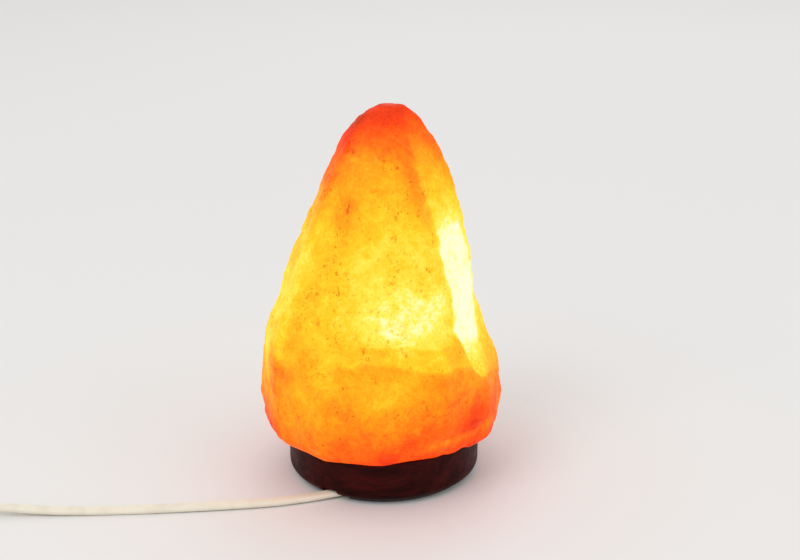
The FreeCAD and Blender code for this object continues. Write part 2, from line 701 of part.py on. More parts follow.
def bow(start, start_heading, end, end_heading):
    """Two arcs that leave one point and reach another, each along its own heading."""
    across = end - start
    total = start_heading + end_heading
    likeness = start_heading.dot(end_heading)
    room = across.dot(total)
    reach = (math.sqrt(room * room + 2 * (1 - likeness) * across.dot(across)) - room) / (
        2 * (1 - likeness))
    joint = (start + start_heading * reach + end - end_heading * reach) * 0.5
    arcs = []
    for first, corner, last in ((start, start + start_heading * reach, joint),
                                (joint, end - end_heading * reach, end)):
        half = (corner - first).getAngle(last - corner) / 2
        weight = math.cos(half)
        middle = (first + corner * (2 * weight) + last) * (1 / (2 + 2 * weight))
        arcs.append(Part.Arc(first, middle, last).toShape())
    return arcs


def coil_path():
    """Half turns that spiral in on the table, climb one layer, and spiral out again."""
    pitch = size.cord_width.value + size.coil_gap.value
    climb = size.cord_height.value + size.coil_gap.value
    middle_y = CORD_Y + size.coil_radius.value
    edges = []

    def end_of(count, level, sign):
        radius = size.coil_radius.value - count * pitch / 2
        return Vector(COIL_X, middle_y + sign * radius, level)

    low = FLOOR_LEVEL
    high = FLOOR_LEVEL + climb
    steps = list(range(COIL_HALF_TURNS + 1))
    sign = -1
    start = end_of(0, low, sign)
    edges.append(Part.LineSegment(start + Vector(size.cord_width.value, 0, 0), start).toShape())
    for counts, level in ((steps, low), (steps[::-1], high)):
        for now, after in zip(counts, counts[1:]):
            first, last = end_of(now, level, sign), end_of(after, level, -sign)
            centre = (first + last) * 0.5
            side = centre + Vector(sign * (first - last).Length / 2, 0, 0)
            edges.append(Part.Arc(first, side, last).toShape())
            sign = -sign
        if level == low:
            first, last = end_of(steps[-1], low, sign), end_of(steps[-1], high, -sign)
            inset = size.coil_climb_inset.value
            side = Vector(COIL_X + sign * (abs(first.y - middle_y) - inset), middle_y,
                          (low + high) / 2)
            rise = Vector(0, -sign, climb / (2 * abs(first.y - middle_y))).normalize()
            edges += bow(first, Vector(sign, 0, 0), side, rise)
            edges += bow(side, rise, last, Vector(-sign, 0, 0))
            sign = -sign
    tail = end_of(0, high, sign)
    bend = Vector(TAIL_BEND, tail.y, tail.z)
    turn = math.radians(size.plug_heading.value)
    heading = Vector(math.cos(turn), math.sin(turn), 0)
    wire, radii = rounded_path(
        [tail, bend, bend + heading * (TAIL_RUN + size.relief_length.value)])
    return Part.Wire(edges + wire.Edges), bend + heading * TAIL_RUN


coil_wire, plug_start = coil_path()
coil_start = coil_wire.OrderedVertexes[0].Point
coil = tube(coil_wire, flat_section(size.cord_width.value, size.cord_height.value, coil_start,
                                    Vector(-1, 0, 0)), "cord_coil")
node(solid("coil", coil), "cord_coil")


def least_gap(path, step=3.0):
    """The least clear space between two stretches of the coil, measured on points."""
    points = path.discretize(Number=int(path.Length / step))
    apart = int(2 * size.cord_width.value / step) + 6
    flat = size.cord_width.value - size.cord_height.value
    gaps = []
    for i, point in enumerate(points):
        for other in points[i + apart:]:
            level = max(math.hypot(other.x - point.x, other.y - point.y) - flat, 0)
            gaps.append(math.hypot(level, other.z - point.z) - size.cord_height.value)
    return min(gaps)


print(f"cord_coil: least gap to itself {least_gap(coil_wire):.2f}")

# Tie: a band bent over both layers of the coil on its far side, its ends tucked under.
half_pitch = (size.cord_width + size.coil_gap) / 2
bundle_out = size.coil_radius - half_pitch / 2 + size.cord_width / 2
bundle_in = (size.coil_radius - half_pitch * (COIL_HALF_TURNS - 0.5) - size.cord_width / 2)
bundle_top = size.cord_height * 2 + size.coil_gap
tie_middle = (COIL_X - (bundle_out + bundle_in) / 2, CORD_Y + size.coil_radius)
tie_inside = bundle_out - bundle_in + size.tie_play * 2
tie_low = 0.4
tie_outer = box("tie_outer", tie_inside + size.tie_thickness * 2, size.tie_width,
                bundle_top + size.tie_play + size.tie_thickness - tie_low, (*tie_middle, tie_low))
tie_bore = box("tie_bore", tie_inside, size.tie_width * 2, bundle_top + size.tie_play,
               (*tie_middle, 0))
node(cut("tie", tie_outer, [tie_bore]), "coil_tie")


def sleeve(name, x, y, level, length, side, near, far, play=0.1):
    """A soft sleeve that tapers along the cord from its near to its far width and height."""
    sections = []
    for share, (width, height) in ((0.0, near), (1.0, far)):
        sections.append(flat_section(width, height, (x + side * share * length, y, level),
                                     Vector(1, 0, 0)))
    outer = Part.makeLoft(sections, True, True)
    bore = flat_section(size.cord_width.value + play, size.cord_height.value + play,
                        (x - side, y, level), Vector(1, 0, 0))
    hole = Part.Face(bore).extrude(Vector(side * (length + 2), 0, 0))
    return solid(name, outer.cut(hole))


# In-line switch: a tray on the table, a lid over it, and sleeves where the cord goes in and out.
half_length = size.switch_length / 2
lid_top = size.switch_tray + size.switch_lid
inner_length = size.switch_length - size.switch_wall * 2
inner_width = size.switch_width - size.switch_wall * 2
entry_width = size.cord_width + 0.5
entry_height = size.cord_height + 0.5
tray_low = SWITCH_ENTRY - entry_height / 2


def case_half(name, low, height, hollow_low, hollow_height):
    """Half a case: a block with rounded upright edges, hollowed from its open side."""
    body = extruded(name, "XY_Plane", [
        (SWITCH_X - half_length, CORD_Y - size.switch_width / 2),
        (SWITCH_X + half_length, CORD_Y - size.switch_width / 2),
        (SWITCH_X + half_length, CORD_Y + size.switch_width / 2),
        (SWITCH_X - half_length, CORD_Y + size.switch_width / 2),
    ], height, low)
    rounded(body, name + "_corners", size.switch_wall * 2.5, lambda edge: (
        edge.BoundBox.ZLength > 1 and edge.BoundBox.XLength < 0.01))
    rim = dim(low) + height if low else dim(low)
    rounded(body, name + "_rim", size.switch_rounding, lambda edge: (
        edge.BoundBox.ZLength < 0.01 and abs(edge.BoundBox.ZMin - rim.value) < 0.01))
    hollow = box(name + "_hollow", inner_length, inner_width, hollow_height,
                 (SWITCH_X, CORD_Y, hollow_low))
    entry = box(name + "_entry", size.switch_length * 2, entry_width, entry_height,
                (SWITCH_X, CORD_Y, tray_low))
    return body, [hollow, entry]


tray, tray_cuts = case_half("tray", 0, size.switch_tray, size.switch_wall, size.switch_tray)
case_screw_x = half_length - 6.0
case_screw_y = size.switch_width / 2 - 5.0
screw_places = [(SWITCH_X + case_screw_x, CORD_Y + case_screw_y),
                (SWITCH_X - case_screw_x, CORD_Y - case_screw_y)]
tray_holes = [cylinder(f"tray_hole_{i}", 1.5, size.switch_tray * 2, (x, y, -1))
              for i, (x, y) in enumerate(screw_places)]
head_holes = [cylinder(f"head_hole_{i}", 2.8, 2.6, (x, y, -1))
              for i, (x, y) in enumerate(screw_places)]
tray_posts = [cylinder(f"tray_post_{i}", 3.4, size.switch_tray, (x, y, 0))
              for i, (x, y) in enumerate(screw_places)]
node(cut("tray_cut", fuse("tray_with_posts", [cut("tray_open", tray, tray_cuts)] + tray_posts),
         tray_holes + head_holes), "switch_case_bottom")

lid, lid_cuts = case_half("lid", size.switch_tray, size.switch_lid,
                          size.switch_tray - 1, size.switch_lid - size.switch_wall + 1)
window = box("window", size.rocker_length + size.rocker_play * 2,
             size.rocker_width + size.rocker_play * 2, size.switch_lid * 2,
             (SWITCH_X, CORD_Y, size.switch_tray + 2))
post_gap = 0.1
lid_posts = [cylinder(f"lid_post_{i}", 3.4, size.switch_lid - 1, (x, y, size.switch_tray + post_gap))
             for i, (x, y) in enumerate(screw_places)]
lid_holes = [cylinder(f"lid_hole_{i}", 1.25, 8.0, (x, y, size.switch_tray))
             for i, (x, y) in enumerate(screw_places)]
rib_y = size.rocker_width / 2 + size.rocker_play + 1.0
ribs = [
    box(f"rib_{side}", 6.0, 2.0, lid_top - size.pivot_level + 2.0,
        (SWITCH_X, CORD_Y + rib_y * side, size.pivot_level - 2.5)) for side in (1, -1)
]
pin_length = (rib_y + 1.0) * 2
pin_hole = cylinder("pin_hole", size.pin_radius, pin_length,
                    (SWITCH_X, CORD_Y - pin_length / 2, size.pivot_level), "y")
node(cut("lid_cut", fuse("lid_with_ribs", [cut("lid_open", lid, lid_cuts + [window])]
                         + ribs + lid_posts), [pin_hole] + lid_holes), "switch_case_top")
node(cylinder("pivot_pin", size.pin_radius, pin_length - 0.2,
              (SWITCH_X, CORD_Y - pin_length / 2 + 0.1, size.pivot_level), "y"), "rocker_pin")
case_screws = [
    screw(f"case_screw_{i}", 1.25, 11.0, 2.5, 1.5, (x, y, 1.6))
    for i, (x, y) in enumerate(screw_places)
]
node(group("case_screw_pair", case_screws), "switch_case_screws")

# Rocker: a button with a shallow V on top and ends rounded about its pin; at rest its lamp side is
# down on its stop.
reach = size.rocker_length / 2
top_rise = 4.6
rocker_block = extruded("rocker_block", "XZ_Plane", [
    (-reach - 2, -1.5), (-3.2, -1.5), (-3.2, -4.2), (3.2, -4.2), (3.2, -1.5), (reach + 2, -1.5),
    (reach + 2, top_rise - 0.2), (0, top_rise + 0.6), (-reach - 2, top_rise - 0.2),
], size.rocker_width, both=True)
rocker_round = cylinder("rocker_round", reach, size.rocker_width, (0, -size.rocker_width / 2, 0),
                        "y")
rocker_shape = doc.addObject("Part::MultiCommon", "rocker_shape")
rocker_shape.Shapes = [rocker_block, rocker_round]
rocker_bore = cylinder("rocker_bore", size.pin_radius + size.pin_play, size.rocker_width * 2,
                       (0, -size.rocker_width, 0), "y")
spring_bore = cylinder("spring_bore", 1.7, 3.2, (0, 0, -4.4))
rocker = cut("rocker", rocker_shape, [rocker_bore, spring_bore])
plunger = fuse("plunger_parts", [cylinder("plunger_rod", 1.4, 2.4, (0, 0, -5.8)),
                                 doc.addObject("Part::Sphere", "plunger_ball")])
tie(doc.getObject("plunger_ball"), Radius=1.4)
place(doc.getObject("plunger_ball"), (0, 0, -5.8))


def tilted(name, pieces, angle):
    """Pieces drawn about the pin, tilted together and set on the pin."""
    holder = group(name, pieces)
    holder.Placement = Placement(Vector(), Rotation(Vector(0, 1, 0), angle.value))
    holder.setExpression("Placement.Rotation.Angle", angle.text)
    for letter, value in zip("xyz", (SWITCH_X, CORD_Y, size.pivot_level)):
        holder.setExpression(f"Placement.Base.{letter}", dim(value).text)
    return holder


node(tilted("rocker_tilted", [rocker], size.rocker_tilt), "switch_rocker")
node(tilted("plunger_tilted", [plunger], size.rocker_tilt), "rocker_plunger")
turns = 3
spring_path = Part.makeHelix(0.55, 0.55 * turns, 1.25)
spring_ring = Part.Wire(Part.makeCircle(0.18, Vector(1.25, 0, 0), Vector(0, 1, 0.07)))
spring = Part.Wire(spring_path.Edges).makePipeShell([spring_ring], True, True)
spring_node = solid("spring", spring)
spring_node.Placement = Placement(Vector(0, 0, -3.15), Rotation())
node(tilted("spring_tilted", [spring_node], size.rocker_tilt), "plunger_spring")

# Contacts: a brass seesaw on a post under the rocker, a fixed contact, and terminals at both ends.
seesaw_level = 7.2
ridge = 0.8
seesaw_half = 0.3
seesaw_length = 13.0
seesaw_width = 4.0
saddle_level = seesaw_level - seesaw_half - 0.05 - ridge
saddle = fuse("saddle_parts", [
    box("saddle_foot", 5.0, 8.0, saddle_level - size.switch_wall,
        (SWITCH_X, CORD_Y, size.switch_wall)),
    cylinder("saddle_ridge", ridge, 8.0, (SWITCH_X, CORD_Y - 4.0, saddle_level), "y"),
    box("saddle_tongue", 11.0, 3.0, 0.6, (SWITCH_X + 5.5, CORD_Y + 2.5, size.switch_wall)),
])
node(saddle, "contact_saddle")
seesaw = tilted("seesaw_tilted", [
    box("seesaw", seesaw_length, seesaw_width, seesaw_half * 2,
        (0, 0, seesaw_level - saddle_level - seesaw_half)),
], -size.rocker_tilt / 2)
seesaw.setExpression("Placement.Base.z", dim(saddle_level).text)
node(seesaw, "contact_seesaw")
terminal_x_place = 14.0
switch_terminals = []
switch_screws = []
for i, (side, across) in enumerate(((1, 1), (1, -1), (-1, 1), (-1, -1))):
    x = SWITCH_X + terminal_x_place * side
    y = CORD_Y + 4.4 * across
    lug = box(f"lug_{i}", 6.0, 4.0, 5.4, (x, y, size.switch_wall))
    eye = cylinder(f"lug_eye_{i}", size.core_radius + 0.1, 8.0, (x - 4.0, y, SWITCH_ENTRY), "x")
    thread = cylinder(f"lug_thread_{i}", 1.05, 4.0, (x, y, SWITCH_ENTRY), "z")
    if side < 0 < across:
        tongue = box("fixed_tongue", 6.4, 3.0, 0.5, (x + 6.0, CORD_Y + 3.2, seesaw_level - 1.6))
        lug = fuse("lug_with_tongue", [lug, tongue])
    switch_terminals.append(cut(f"lug_cut_{i}", lug, [eye, thread]))
    switch_screws.append(screw(f"lug_screw_{i}", 1.0, 0.9, 1.7, 1.0,
                               (x, y, size.switch_wall + 5.5), -1))
node(group("lugs", switch_terminals), "switch_terminals")
node(group("lug_screws", switch_screws), "switch_terminal_screws")
bridge_length = terminal_x_place * 2 - 6.0
bridge = box("bridge", bridge_length, 2.2, 0.8, (SWITCH_X, CORD_Y - 5.5, size.switch_wall + 0.2))
node(bridge, "switch_neutral_link")
sleeve_near = (10.5, 7.6)
sleeve_far = (7.2, 4.8)
for side, name in ((1, "switch_sleeve_lamp_side"), (-1, "switch_sleeve_plug_side")):
    end = (SWITCH_X + half_length * side).value
    node(sleeve(name, end, CORD_Y, SWITCH_ENTRY, size.relief_length.value, side, sleeve_near,
                sleeve_far), name)
entry_cords = []
for side in (1, -1):
    start = (SWITCH_X + half_length * side).value + side * size.relief_length.value
    stub = flat_section(size.cord_width.value, size.cord_height.value,
                        (start, CORD_Y, SWITCH_ENTRY), Vector(1, 0, 0))
    stub_length = size.relief_length.value + 6.0
    entry_cords.append(Part.Face(stub).extrude(Vector(-side * stub_length, 0, 0)))
    for across in (1, -1):
        path, radii = rounded_path([
            (start - side * stub_length, CORD_Y + 1.3 * across, SWITCH_ENTRY),
            (start - side * (stub_length + 1.0), CORD_Y + 1.4 * across, SWITCH_ENTRY),
            (start - side * (stub_length + 3.6), CORD_Y + 4.3 * across, SWITCH_ENTRY),
            (start - side * (stub_length + 5.6), CORD_Y + 4.4 * across, SWITCH_ENTRY),
        ])
        ring = Part.Wire(Part.makeCircle(size.core_radius.value, Vector(
            start - side * stub_length, CORD_Y + 1.3 * across, SWITCH_ENTRY),
            path.Edges[0].tangentAt(0)))
        entry_cords.append(tube(path, ring, "switch core"))
node(solid("cord_ends", Part.makeCompound(entry_cords)), "switch_cord_ends")

# Plug: a flat moulded body, two pins with insulating sleeves, and a tapered sleeve on the cord,
# drawn from the sleeve's free end along +X and then laid where the cord ends.
plug_axis = size.plug_thickness / 2
plug_back = size.relief_length
plug_face = plug_back + size.plug_length
back_half = 8.0
waist = 9.0
waist_half = 12.0
shoulder = 8.0
plug = extruded("plug", "XY_Plane", [
    (plug_back, -back_half), (plug_back + waist, -waist_half),
    (plug_face - shoulder, -size.plug_width / 2), (plug_face, -size.plug_width / 2),
    (plug_face, size.plug_width / 2), (plug_face - shoulder, size.plug_width / 2),
    (plug_back + waist, waist_half), (plug_back, back_half),
], size.plug_thickness)
rounded(plug, "plug_edges", size.plug_rounding, lambda edge: (
    edge.BoundBox.ZLength < 0.01 and edge.BoundBox.XLength > 1))
pin_side = size.plug_pin_spacing / 2
sleeve_radius = size.plug_pin_radius - size.slip
core_rod = size.plug_pin_radius - size.slip * 3
pin_root = 14.0
sockets = [cylinder(f"pin_socket_{side}", core_rod, pin_root,
                    (plug_face - pin_root, pin_side * side, plug_axis), "x")
           for side in (1, -1)]
pins = []
pin_sleeves = []
for side in (1, -1):
    y = pin_side * side
    nose = size.plug_pin_radius / 2
    pins.append(fuse(f"pin_{side}", [
        cylinder(f"pin_rod_{side}", core_rod, pin_root + size.plug_pin_length - nose * 2,
                 (plug_face - pin_root, y, plug_axis), "x"),
        cylinder(f"pin_end_{side}", size.plug_pin_radius,
                 size.plug_pin_length - size.sleeve_length - nose,
                 (plug_face + size.sleeve_length, y, plug_axis), "x"),
        cone(f"pin_nose_{side}", size.plug_pin_radius, nose, nose,
             (plug_face + size.plug_pin_length - nose, y, plug_axis), "x"),
    ]))
    pin_sleeves.append(cut(f"pin_sleeve_{side}", cylinder(
        f"pin_sleeve_body_{side}", sleeve_radius, size.sleeve_length,
        (plug_face, y, plug_axis), "x"), [cylinder(
            f"pin_sleeve_bore_{side}", core_rod, size.sleeve_length, (plug_face, y, plug_axis), "x")]))
plug_neck = sleeve("plug_neck", plug_back.value, 0.0, plug_start.z, size.relief_length.value, -1,
                   (11.0, 8.4), (7.4, 5.0), play=0.6)


def laid(name, pieces):
    """Pieces of the plug, set where the cord ends and turned to the plug's heading."""
    holder = group(name, pieces)
    holder.Placement = Placement(Vector(plug_start.x, plug_start.y, 0),
                                 Rotation(Vector(0, 0, 1), size.plug_heading.value))
    holder.setExpression("Placement.Rotation.Angle", size.plug_heading.text)
    return holder


node(laid("plug_laid", [cut("plug_cut", plug, sockets)]), "plug_body")
node(laid("pins_laid", pins), "plug_pins")
node(laid("pin_sleeves_laid", pin_sleeves), "plug_pin_sleeves")
node(laid("plug_neck_laid", [plug_neck]), "plug_sleeve")


doc.recompute()
failed = [obj.Name for obj in doc.Objects if "Invalid" in obj.State or "Error" in obj.State]
if failed:
    raise RuntimeError(f"these did not compute: {failed}")
for name, obj in NODES:
    if obj.Shape.isNull() or not obj.Shape.isValid() or not obj.Shape.Solids:
        raise RuntimeError(f"{name} has no valid solid")
os.makedirs("parts", exist_ok=True)
for name, obj in NODES:
    obj.Shape.exportStep(os.path.join("parts", name + ".step"))
    box_now = obj.Shape.BoundBox
    print(f"{name}: {len(obj.Shape.Solids)} solid, volume {obj.Shape.Volume:.0f}, "
          f"z {box_now.ZMin:.1f} to {box_now.ZMax:.1f}")
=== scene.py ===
import bpy
import json
import math
import random
import numpy as np
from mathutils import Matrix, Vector, noise
from mathutils.kdtree import KDTree

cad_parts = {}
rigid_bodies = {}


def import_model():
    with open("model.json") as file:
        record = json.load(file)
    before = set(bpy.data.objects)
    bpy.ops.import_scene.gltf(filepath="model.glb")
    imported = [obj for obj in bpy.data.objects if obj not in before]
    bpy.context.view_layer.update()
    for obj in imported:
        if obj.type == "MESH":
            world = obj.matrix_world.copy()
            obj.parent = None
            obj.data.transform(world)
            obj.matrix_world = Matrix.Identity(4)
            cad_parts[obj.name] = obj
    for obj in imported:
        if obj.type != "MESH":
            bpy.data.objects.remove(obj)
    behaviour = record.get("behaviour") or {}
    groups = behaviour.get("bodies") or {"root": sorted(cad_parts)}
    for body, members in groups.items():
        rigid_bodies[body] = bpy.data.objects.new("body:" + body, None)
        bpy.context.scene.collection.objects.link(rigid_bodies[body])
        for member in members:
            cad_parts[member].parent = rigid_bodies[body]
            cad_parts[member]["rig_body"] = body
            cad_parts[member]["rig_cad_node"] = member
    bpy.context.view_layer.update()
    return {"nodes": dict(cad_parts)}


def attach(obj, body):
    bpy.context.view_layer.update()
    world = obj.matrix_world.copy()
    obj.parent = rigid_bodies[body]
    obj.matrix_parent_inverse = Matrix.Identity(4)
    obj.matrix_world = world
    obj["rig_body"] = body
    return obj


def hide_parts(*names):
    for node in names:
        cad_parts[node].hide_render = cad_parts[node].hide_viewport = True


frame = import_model()
nodes = frame["nodes"]


# Camera: it stands a little above the lamp and looks down on it, level from left to right. Its
# place, its angle and its lens were solved from the outlines of the base and the stone.
camera = bpy.data.objects.new("camera", bpy.data.cameras.new("camera"))
bpy.context.scene.collection.objects.link(camera)
camera.location = (0.0086, -0.7286, 0.3553)
camera.rotation_euler = (math.radians(70.96), 0.0, 0.0)
camera.data.lens = 67.5
camera.data.sensor_width = 36.0
camera.data.clip_start = 0.01
bpy.context.scene.camera = camera
bpy.context.scene.view_settings.view_transform = "Standard"


# Studio: a pale table top that runs on out of sight under a white surround, a large soft key light
# at the left, a weaker one at the right and one behind.
def feed(tree, node, socket, value):
    """Sets a socket to a value, or links it to another node's output."""
    target = node.inputs[socket]
    if isinstance(value, bpy.types.NodeSocket):
        tree.links.new(value, target)
    else:
        target.default_value = value


def add_node(tree, kind, sockets=(), **settings):
    """A node with its settings, and its sockets by name or number."""
    made = tree.nodes.new(kind)
    for name, value in settings.items():
        setattr(made, name, value)
    for socket, value in dict(sockets).items():
        feed(tree, made, socket, value)
    return made


def sum_of(tree, first, second, kind="ADD", clamp=False):
    """Two numbers added, multiplied or otherwise joined."""
    made = add_node(tree, "ShaderNodeMath", {0: first, 1: second}, operation=kind, use_clamp=clamp)
    return made.outputs[0]


def mixed(tree, share, first, second, kind="MIX"):
    """Two colours mixed by a share."""
    made = add_node(tree, "ShaderNodeMix", {0: share, 6: first, 7: second}, data_type="RGBA",
                    blend_type=kind)
    return made.outputs[2]


def linear(red, green, blue):
    """A colour given in 0 to 255 as the eye sees it, as light."""
    shares = [value / 255 for value in (red, green, blue)]
    light = [s / 12.92 if s <= 0.04045 else ((s + 0.055) / 1.055) ** 2.4 for s in shares]
    return (*light, 1)


def new_finish(name, **plain):
    """A material with its plain values set on the shader, and the shader itself."""
    material = bpy.data.materials.new(name)
    material.use_nodes = True
    shader = material.node_tree.nodes["Principled BSDF"]
    for socket, value in plain.items():
        shader.inputs[socket.replace("_", " ")].default_value = value
    return material, material.node_tree, shader


table_finish, tree, shader = new_finish("table_top", Roughness=0.85, Specular_IOR_Level=0.2)
cloudy = add_node(tree, "ShaderNodeTexNoise", {"Scale": 3.0, "Detail": 3.0})
feed(tree, shader, "Base Color",
     mixed(tree, cloudy.outputs["Fac"], (0.80, 0.79, 0.78, 1), (0.84, 0.835, 0.83, 1)))
table_mesh = bpy.data.meshes.new("table_top")
table_mesh.from_pydata([(-6, -6, 0), (6, -6, 0), (6, 6, 0), (-6, 6, 0)], [], [(0, 1, 2, 3)])
table_top = bpy.data.objects.new("table_top", table_mesh)
bpy.context.scene.collection.objects.link(table_top)
table_mesh.materials.append(table_finish)

surround = bpy.data.worlds.new("surround")
bpy.context.scene.world = surround
surround.use_nodes = True
tree = surround.node_tree
tree.nodes.clear()
seen = add_node(tree, "ShaderNodeLightPath")
shows = sum_of(tree, seen.outputs["Is Camera Ray"], seen.outputs["Is Glossy Ray"], "MAXIMUM")
shows = sum_of(tree, shows, seen.outputs["Is Transmission Ray"], "MAXIMUM")
soft = add_node(tree, "ShaderNodeBackground", {"Color": (1.0, 1.0, 1.0, 1), "Strength": 0.80})
white = add_node(tree, "ShaderNodeBackground", {"Color": (0.97, 0.97, 0.97, 1), "Strength": 1.0})
either = add_node(tree, "ShaderNodeMixShader",
                  {0: shows, 1: soft.outputs[0], 2: white.outputs[0]})
add_node(tree, "ShaderNodeOutputWorld", {"Surface": either.outputs[0]})

for name, place, size, power in (
    ("key_light", (-0.9, -1.1, 1.5), 1.0, 8.5),
    ("fill_light", (1.4, -0.8, 1.0), 1.2, 2.6),
    ("back_light", (0.3, 1.5, 1.4), 1.0, 3.2),
):
    lamp = bpy.data.lights.new(name, "AREA")
    lamp.size = size
    lamp.energy = power
    light = bpy.data.objects.new(name, lamp)
    bpy.context.scene.collection.objects.link(light)
    light.location = place
    aim = Vector((0, 0, 0.08)) - Vector(place)
    light.rotation_euler = aim.to_track_quat("-Z", "Y").to_euler()


# Cord, first stretch: two stranded cores side by side in one ivory vinyl skin, with a shallow
# groove between them. It leaves the wiring cup, passes through the slot in the rim and lies on the
# table as far as the switch, where it rises a little.
def finish_group(name, inputs, outputs):
    """An empty node group with named colours and values in and out."""
    group = bpy.data.node_groups.new(name, "ShaderNodeTree")
    for label, start in inputs.items():
        kind = "NodeSocketColor" if isinstance(start, tuple) else "NodeSocketFloat"
        socket = group.interface.new_socket(label, in_out="INPUT", socket_type=kind)
        socket.default_value = start
    for label, kind in outputs.items():
        group.interface.new_socket(label, in_out="OUTPUT", socket_type="NodeSocket" + kind)
    return group, group.nodes.new("NodeGroupInput").outputs, group.nodes.new("NodeGroupOutput")


def use_group(tree, group, **values):
    """A group placed in a material with this material's own values."""
    made = tree.nodes.new("ShaderNodeGroup")
    made.node_tree = group
    for label, value in values.items():
        feed(tree, made, label.replace("_", " "), value)
    return made.outputs


def raise_surface(tree, shader, height, distance, strength=1.0):
    """Bumps a shader by a height."""
    bump = add_node(tree, "ShaderNodeBump",
                    {"Height": height, "Distance": distance, "Strength": strength})
    feed(tree, shader, "Normal", bump.outputs["Normal"])


def place_on_piece(tree):
    """Where a spot lies on its own piece."""
    return add_node(tree, "ShaderNodeTexCoord").outputs["Object"]


def clouded(tree, where, scale, detail=2.0, roughness=0.5, distortion=0.0):
    """A cloudy pattern over a piece; a larger scale makes finer clouds."""
    return add_node(tree, "ShaderNodeTexNoise", {
        "Vector": where, "Scale": scale, "Detail": detail, "Roughness": roughness,
        "Distortion": distortion}).outputs["Fac"]


def ranged(tree, value, low, high, to_low=0.0, to_high=1.0):
    """A value between two limits, brought to another range and kept inside it."""
    return add_node(tree, "ShaderNodeMapRange", {
        "Value": value, "From Min": low, "From Max": high, "To Min": to_low,
        "To Max": to_high}).outputs[0]


moulded, given, gives = finish_group(
    "moulded_skin",
    {"Colour": (0.8, 0.8, 0.8, 1.0), "Shade": (0.6, 0.6, 0.6, 1.0), "Grain Scale": 900.0,
     "Cloud Scale": 40.0, "Gloss": 0.4, "Gloss Spread": 0.15, "Edge Wear": 0.5},
    {"Colour": "Color", "Roughness": "Float", "Height": "Float"})
where = place_on_piece(moulded)
cloud = clouded(moulded, where, given["Cloud Scale"], detail=4.0)
grain = clouded(moulded, where, given["Grain Scale"])
bent = add_node(moulded, "ShaderNodeNewGeometry").outputs["Pointiness"]
edge = ranged(moulded, bent, 0.51, 0.60)
worn = sum_of(moulded, sum_of(moulded, edge, cloud, "MULTIPLY"), given["Edge Wear"], "MULTIPLY")
dirt = ranged(moulded, cloud, 0.45, 0.85, to_high=0.8)
tone = mixed(moulded, dirt, given["Colour"], given["Shade"])
feed(moulded, gives, "Colour", mixed(moulded, worn, tone, (1, 1, 1, 1), "SCREEN"))
spread = sum_of(moulded, sum_of(moulded, cloud, -0.5, "ADD"), given["Gloss Spread"], "MULTIPLY")
feed(moulded, gives, "Roughness", sum_of(moulded, given["Gloss"], spread, "ADD", clamp=True))
feed(moulded, gives, "Height", sum_of(moulded, grain, sum_of(moulded, cloud, 0.6, "MULTIPLY")))


def moulded_finish(name, colour, shade, gloss, depth, grain_scale=900.0, wear=0.5,
                   cloud_scale=40.0, **plain):
    """Moulded plastic: a cloudy colour, a fine texture, and lighter rubbed edges."""
    material, tree, shader = new_finish(name, **plain)
    skin = use_group(tree, moulded, Colour=linear(*colour), Shade=linear(*shade), Gloss=gloss,
                     Grain_Scale=grain_scale, Cloud_Scale=cloud_scale, Edge_Wear=wear)
    feed(tree, shader, "Base Color", skin["Colour"])
    feed(tree, shader, "Roughness", skin["Roughness"])
    raise_surface(tree, shader, skin["Height"], depth)
    return material


cord_width = 0.0056
cord_height = 0.0032
groove = 0.00038
cord_vinyl = moulded_finish("cord_vinyl", (233, 226, 208), (214, 205, 184), 0.42, 0.00008,
                            grain_scale=1400.0, wear=0.2, cloud_scale=130.0)


def new_piece(name, verts, faces, finish, body):
    """A mesh in the scene with its finish, riding on a body."""
    mesh = bpy.data.meshes.new(name)
    mesh.from_pydata([tuple(v) for v in verts], [], faces)
    mesh.update()
    piece = bpy.data.objects.new(name, mesh)
    bpy.context.scene.collection.objects.link(piece)
    mesh.materials.append(finish)
    mesh.shade_smooth()
    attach(piece, body)
    return piece


def route_line(name, points, resolution=12):
    """The points along a smooth spline through a route's neighbourhood, ends included."""
    line = bpy.data.curves.new(name, "CURVE")
    line.dimensions = "3D"
    spline = line.splines.new("NURBS")
    spline.points.add(len(points) - 1)
    for control, point in zip(spline.points, points):
        control.co = (*point, 1.0)
    spline.order_u = 3
    spline.use_endpoint_u = True
    spline.resolution_u = resolution
    holder = bpy.data.objects.new(name, line)
    bpy.context.scene.collection.objects.link(holder)
    bpy.context.view_layer.update()
    mesh = bpy.data.meshes.new_from_object(holder)
    found = [vertex.co.copy() for vertex in mesh.vertices]
    bpy.data.objects.remove(holder)
    bpy.data.meshes.remove(mesh)
    bpy.data.curves.remove(line)
    return found


def twin_outline():
    """The cord's section: two round cores side by side with a groove between them."""
    count = 28
    radius = cord_height / 2
    reach = cord_width / 2 - radius
    outline = []
    for i in range(count):
        angle = 2 * math.pi * i / count
        across = radius * math.cos(angle) + math.copysign(reach, math.cos(angle))
        up = radius * math.sin(angle)
        near = max(0.0, 1.0 - abs(across) / reach)
        outline.append((across, up - math.copysign(groove * near ** 0.7, up)))
    return outline


def twin_cord(name, line, body, twist=None):
    """A mesh that carries the twin section along a line; twist gives the section's turn there."""
    section = twin_outline()
    verts = []
    for i, point in enumerate(line):
        ahead = line[min(i + 1, len(line) - 1)] - line[max(i - 1, 0)]
        heading = ahead.normalized()
        across = heading.cross(Vector((0, 0, 1))).normalized()
        upward = across.cross(heading)
        turn = math.radians(twist(point)) if twist else 0.0
        for a, b in section:
            side = a * math.cos(turn) - b * math.sin(turn)
            rise = a * math.sin(turn) + b * math.cos(turn)
            verts.append(point + across * side + upward * rise)
    count = len(section)
    faces = [(i * count + j, i * count + (j + 1) % count,
              (i + 1) * count + (j + 1) % count, (i + 1) * count + j)
             for i in range(len(line) - 1) for j in range(count)]
    faces.append(tuple(range(count))[::-1])
    last = (len(line) - 1) * count
    faces.append(tuple(range(last, last + count)))
    return new_piece(name, verts, faces, cord_vinyl, body)


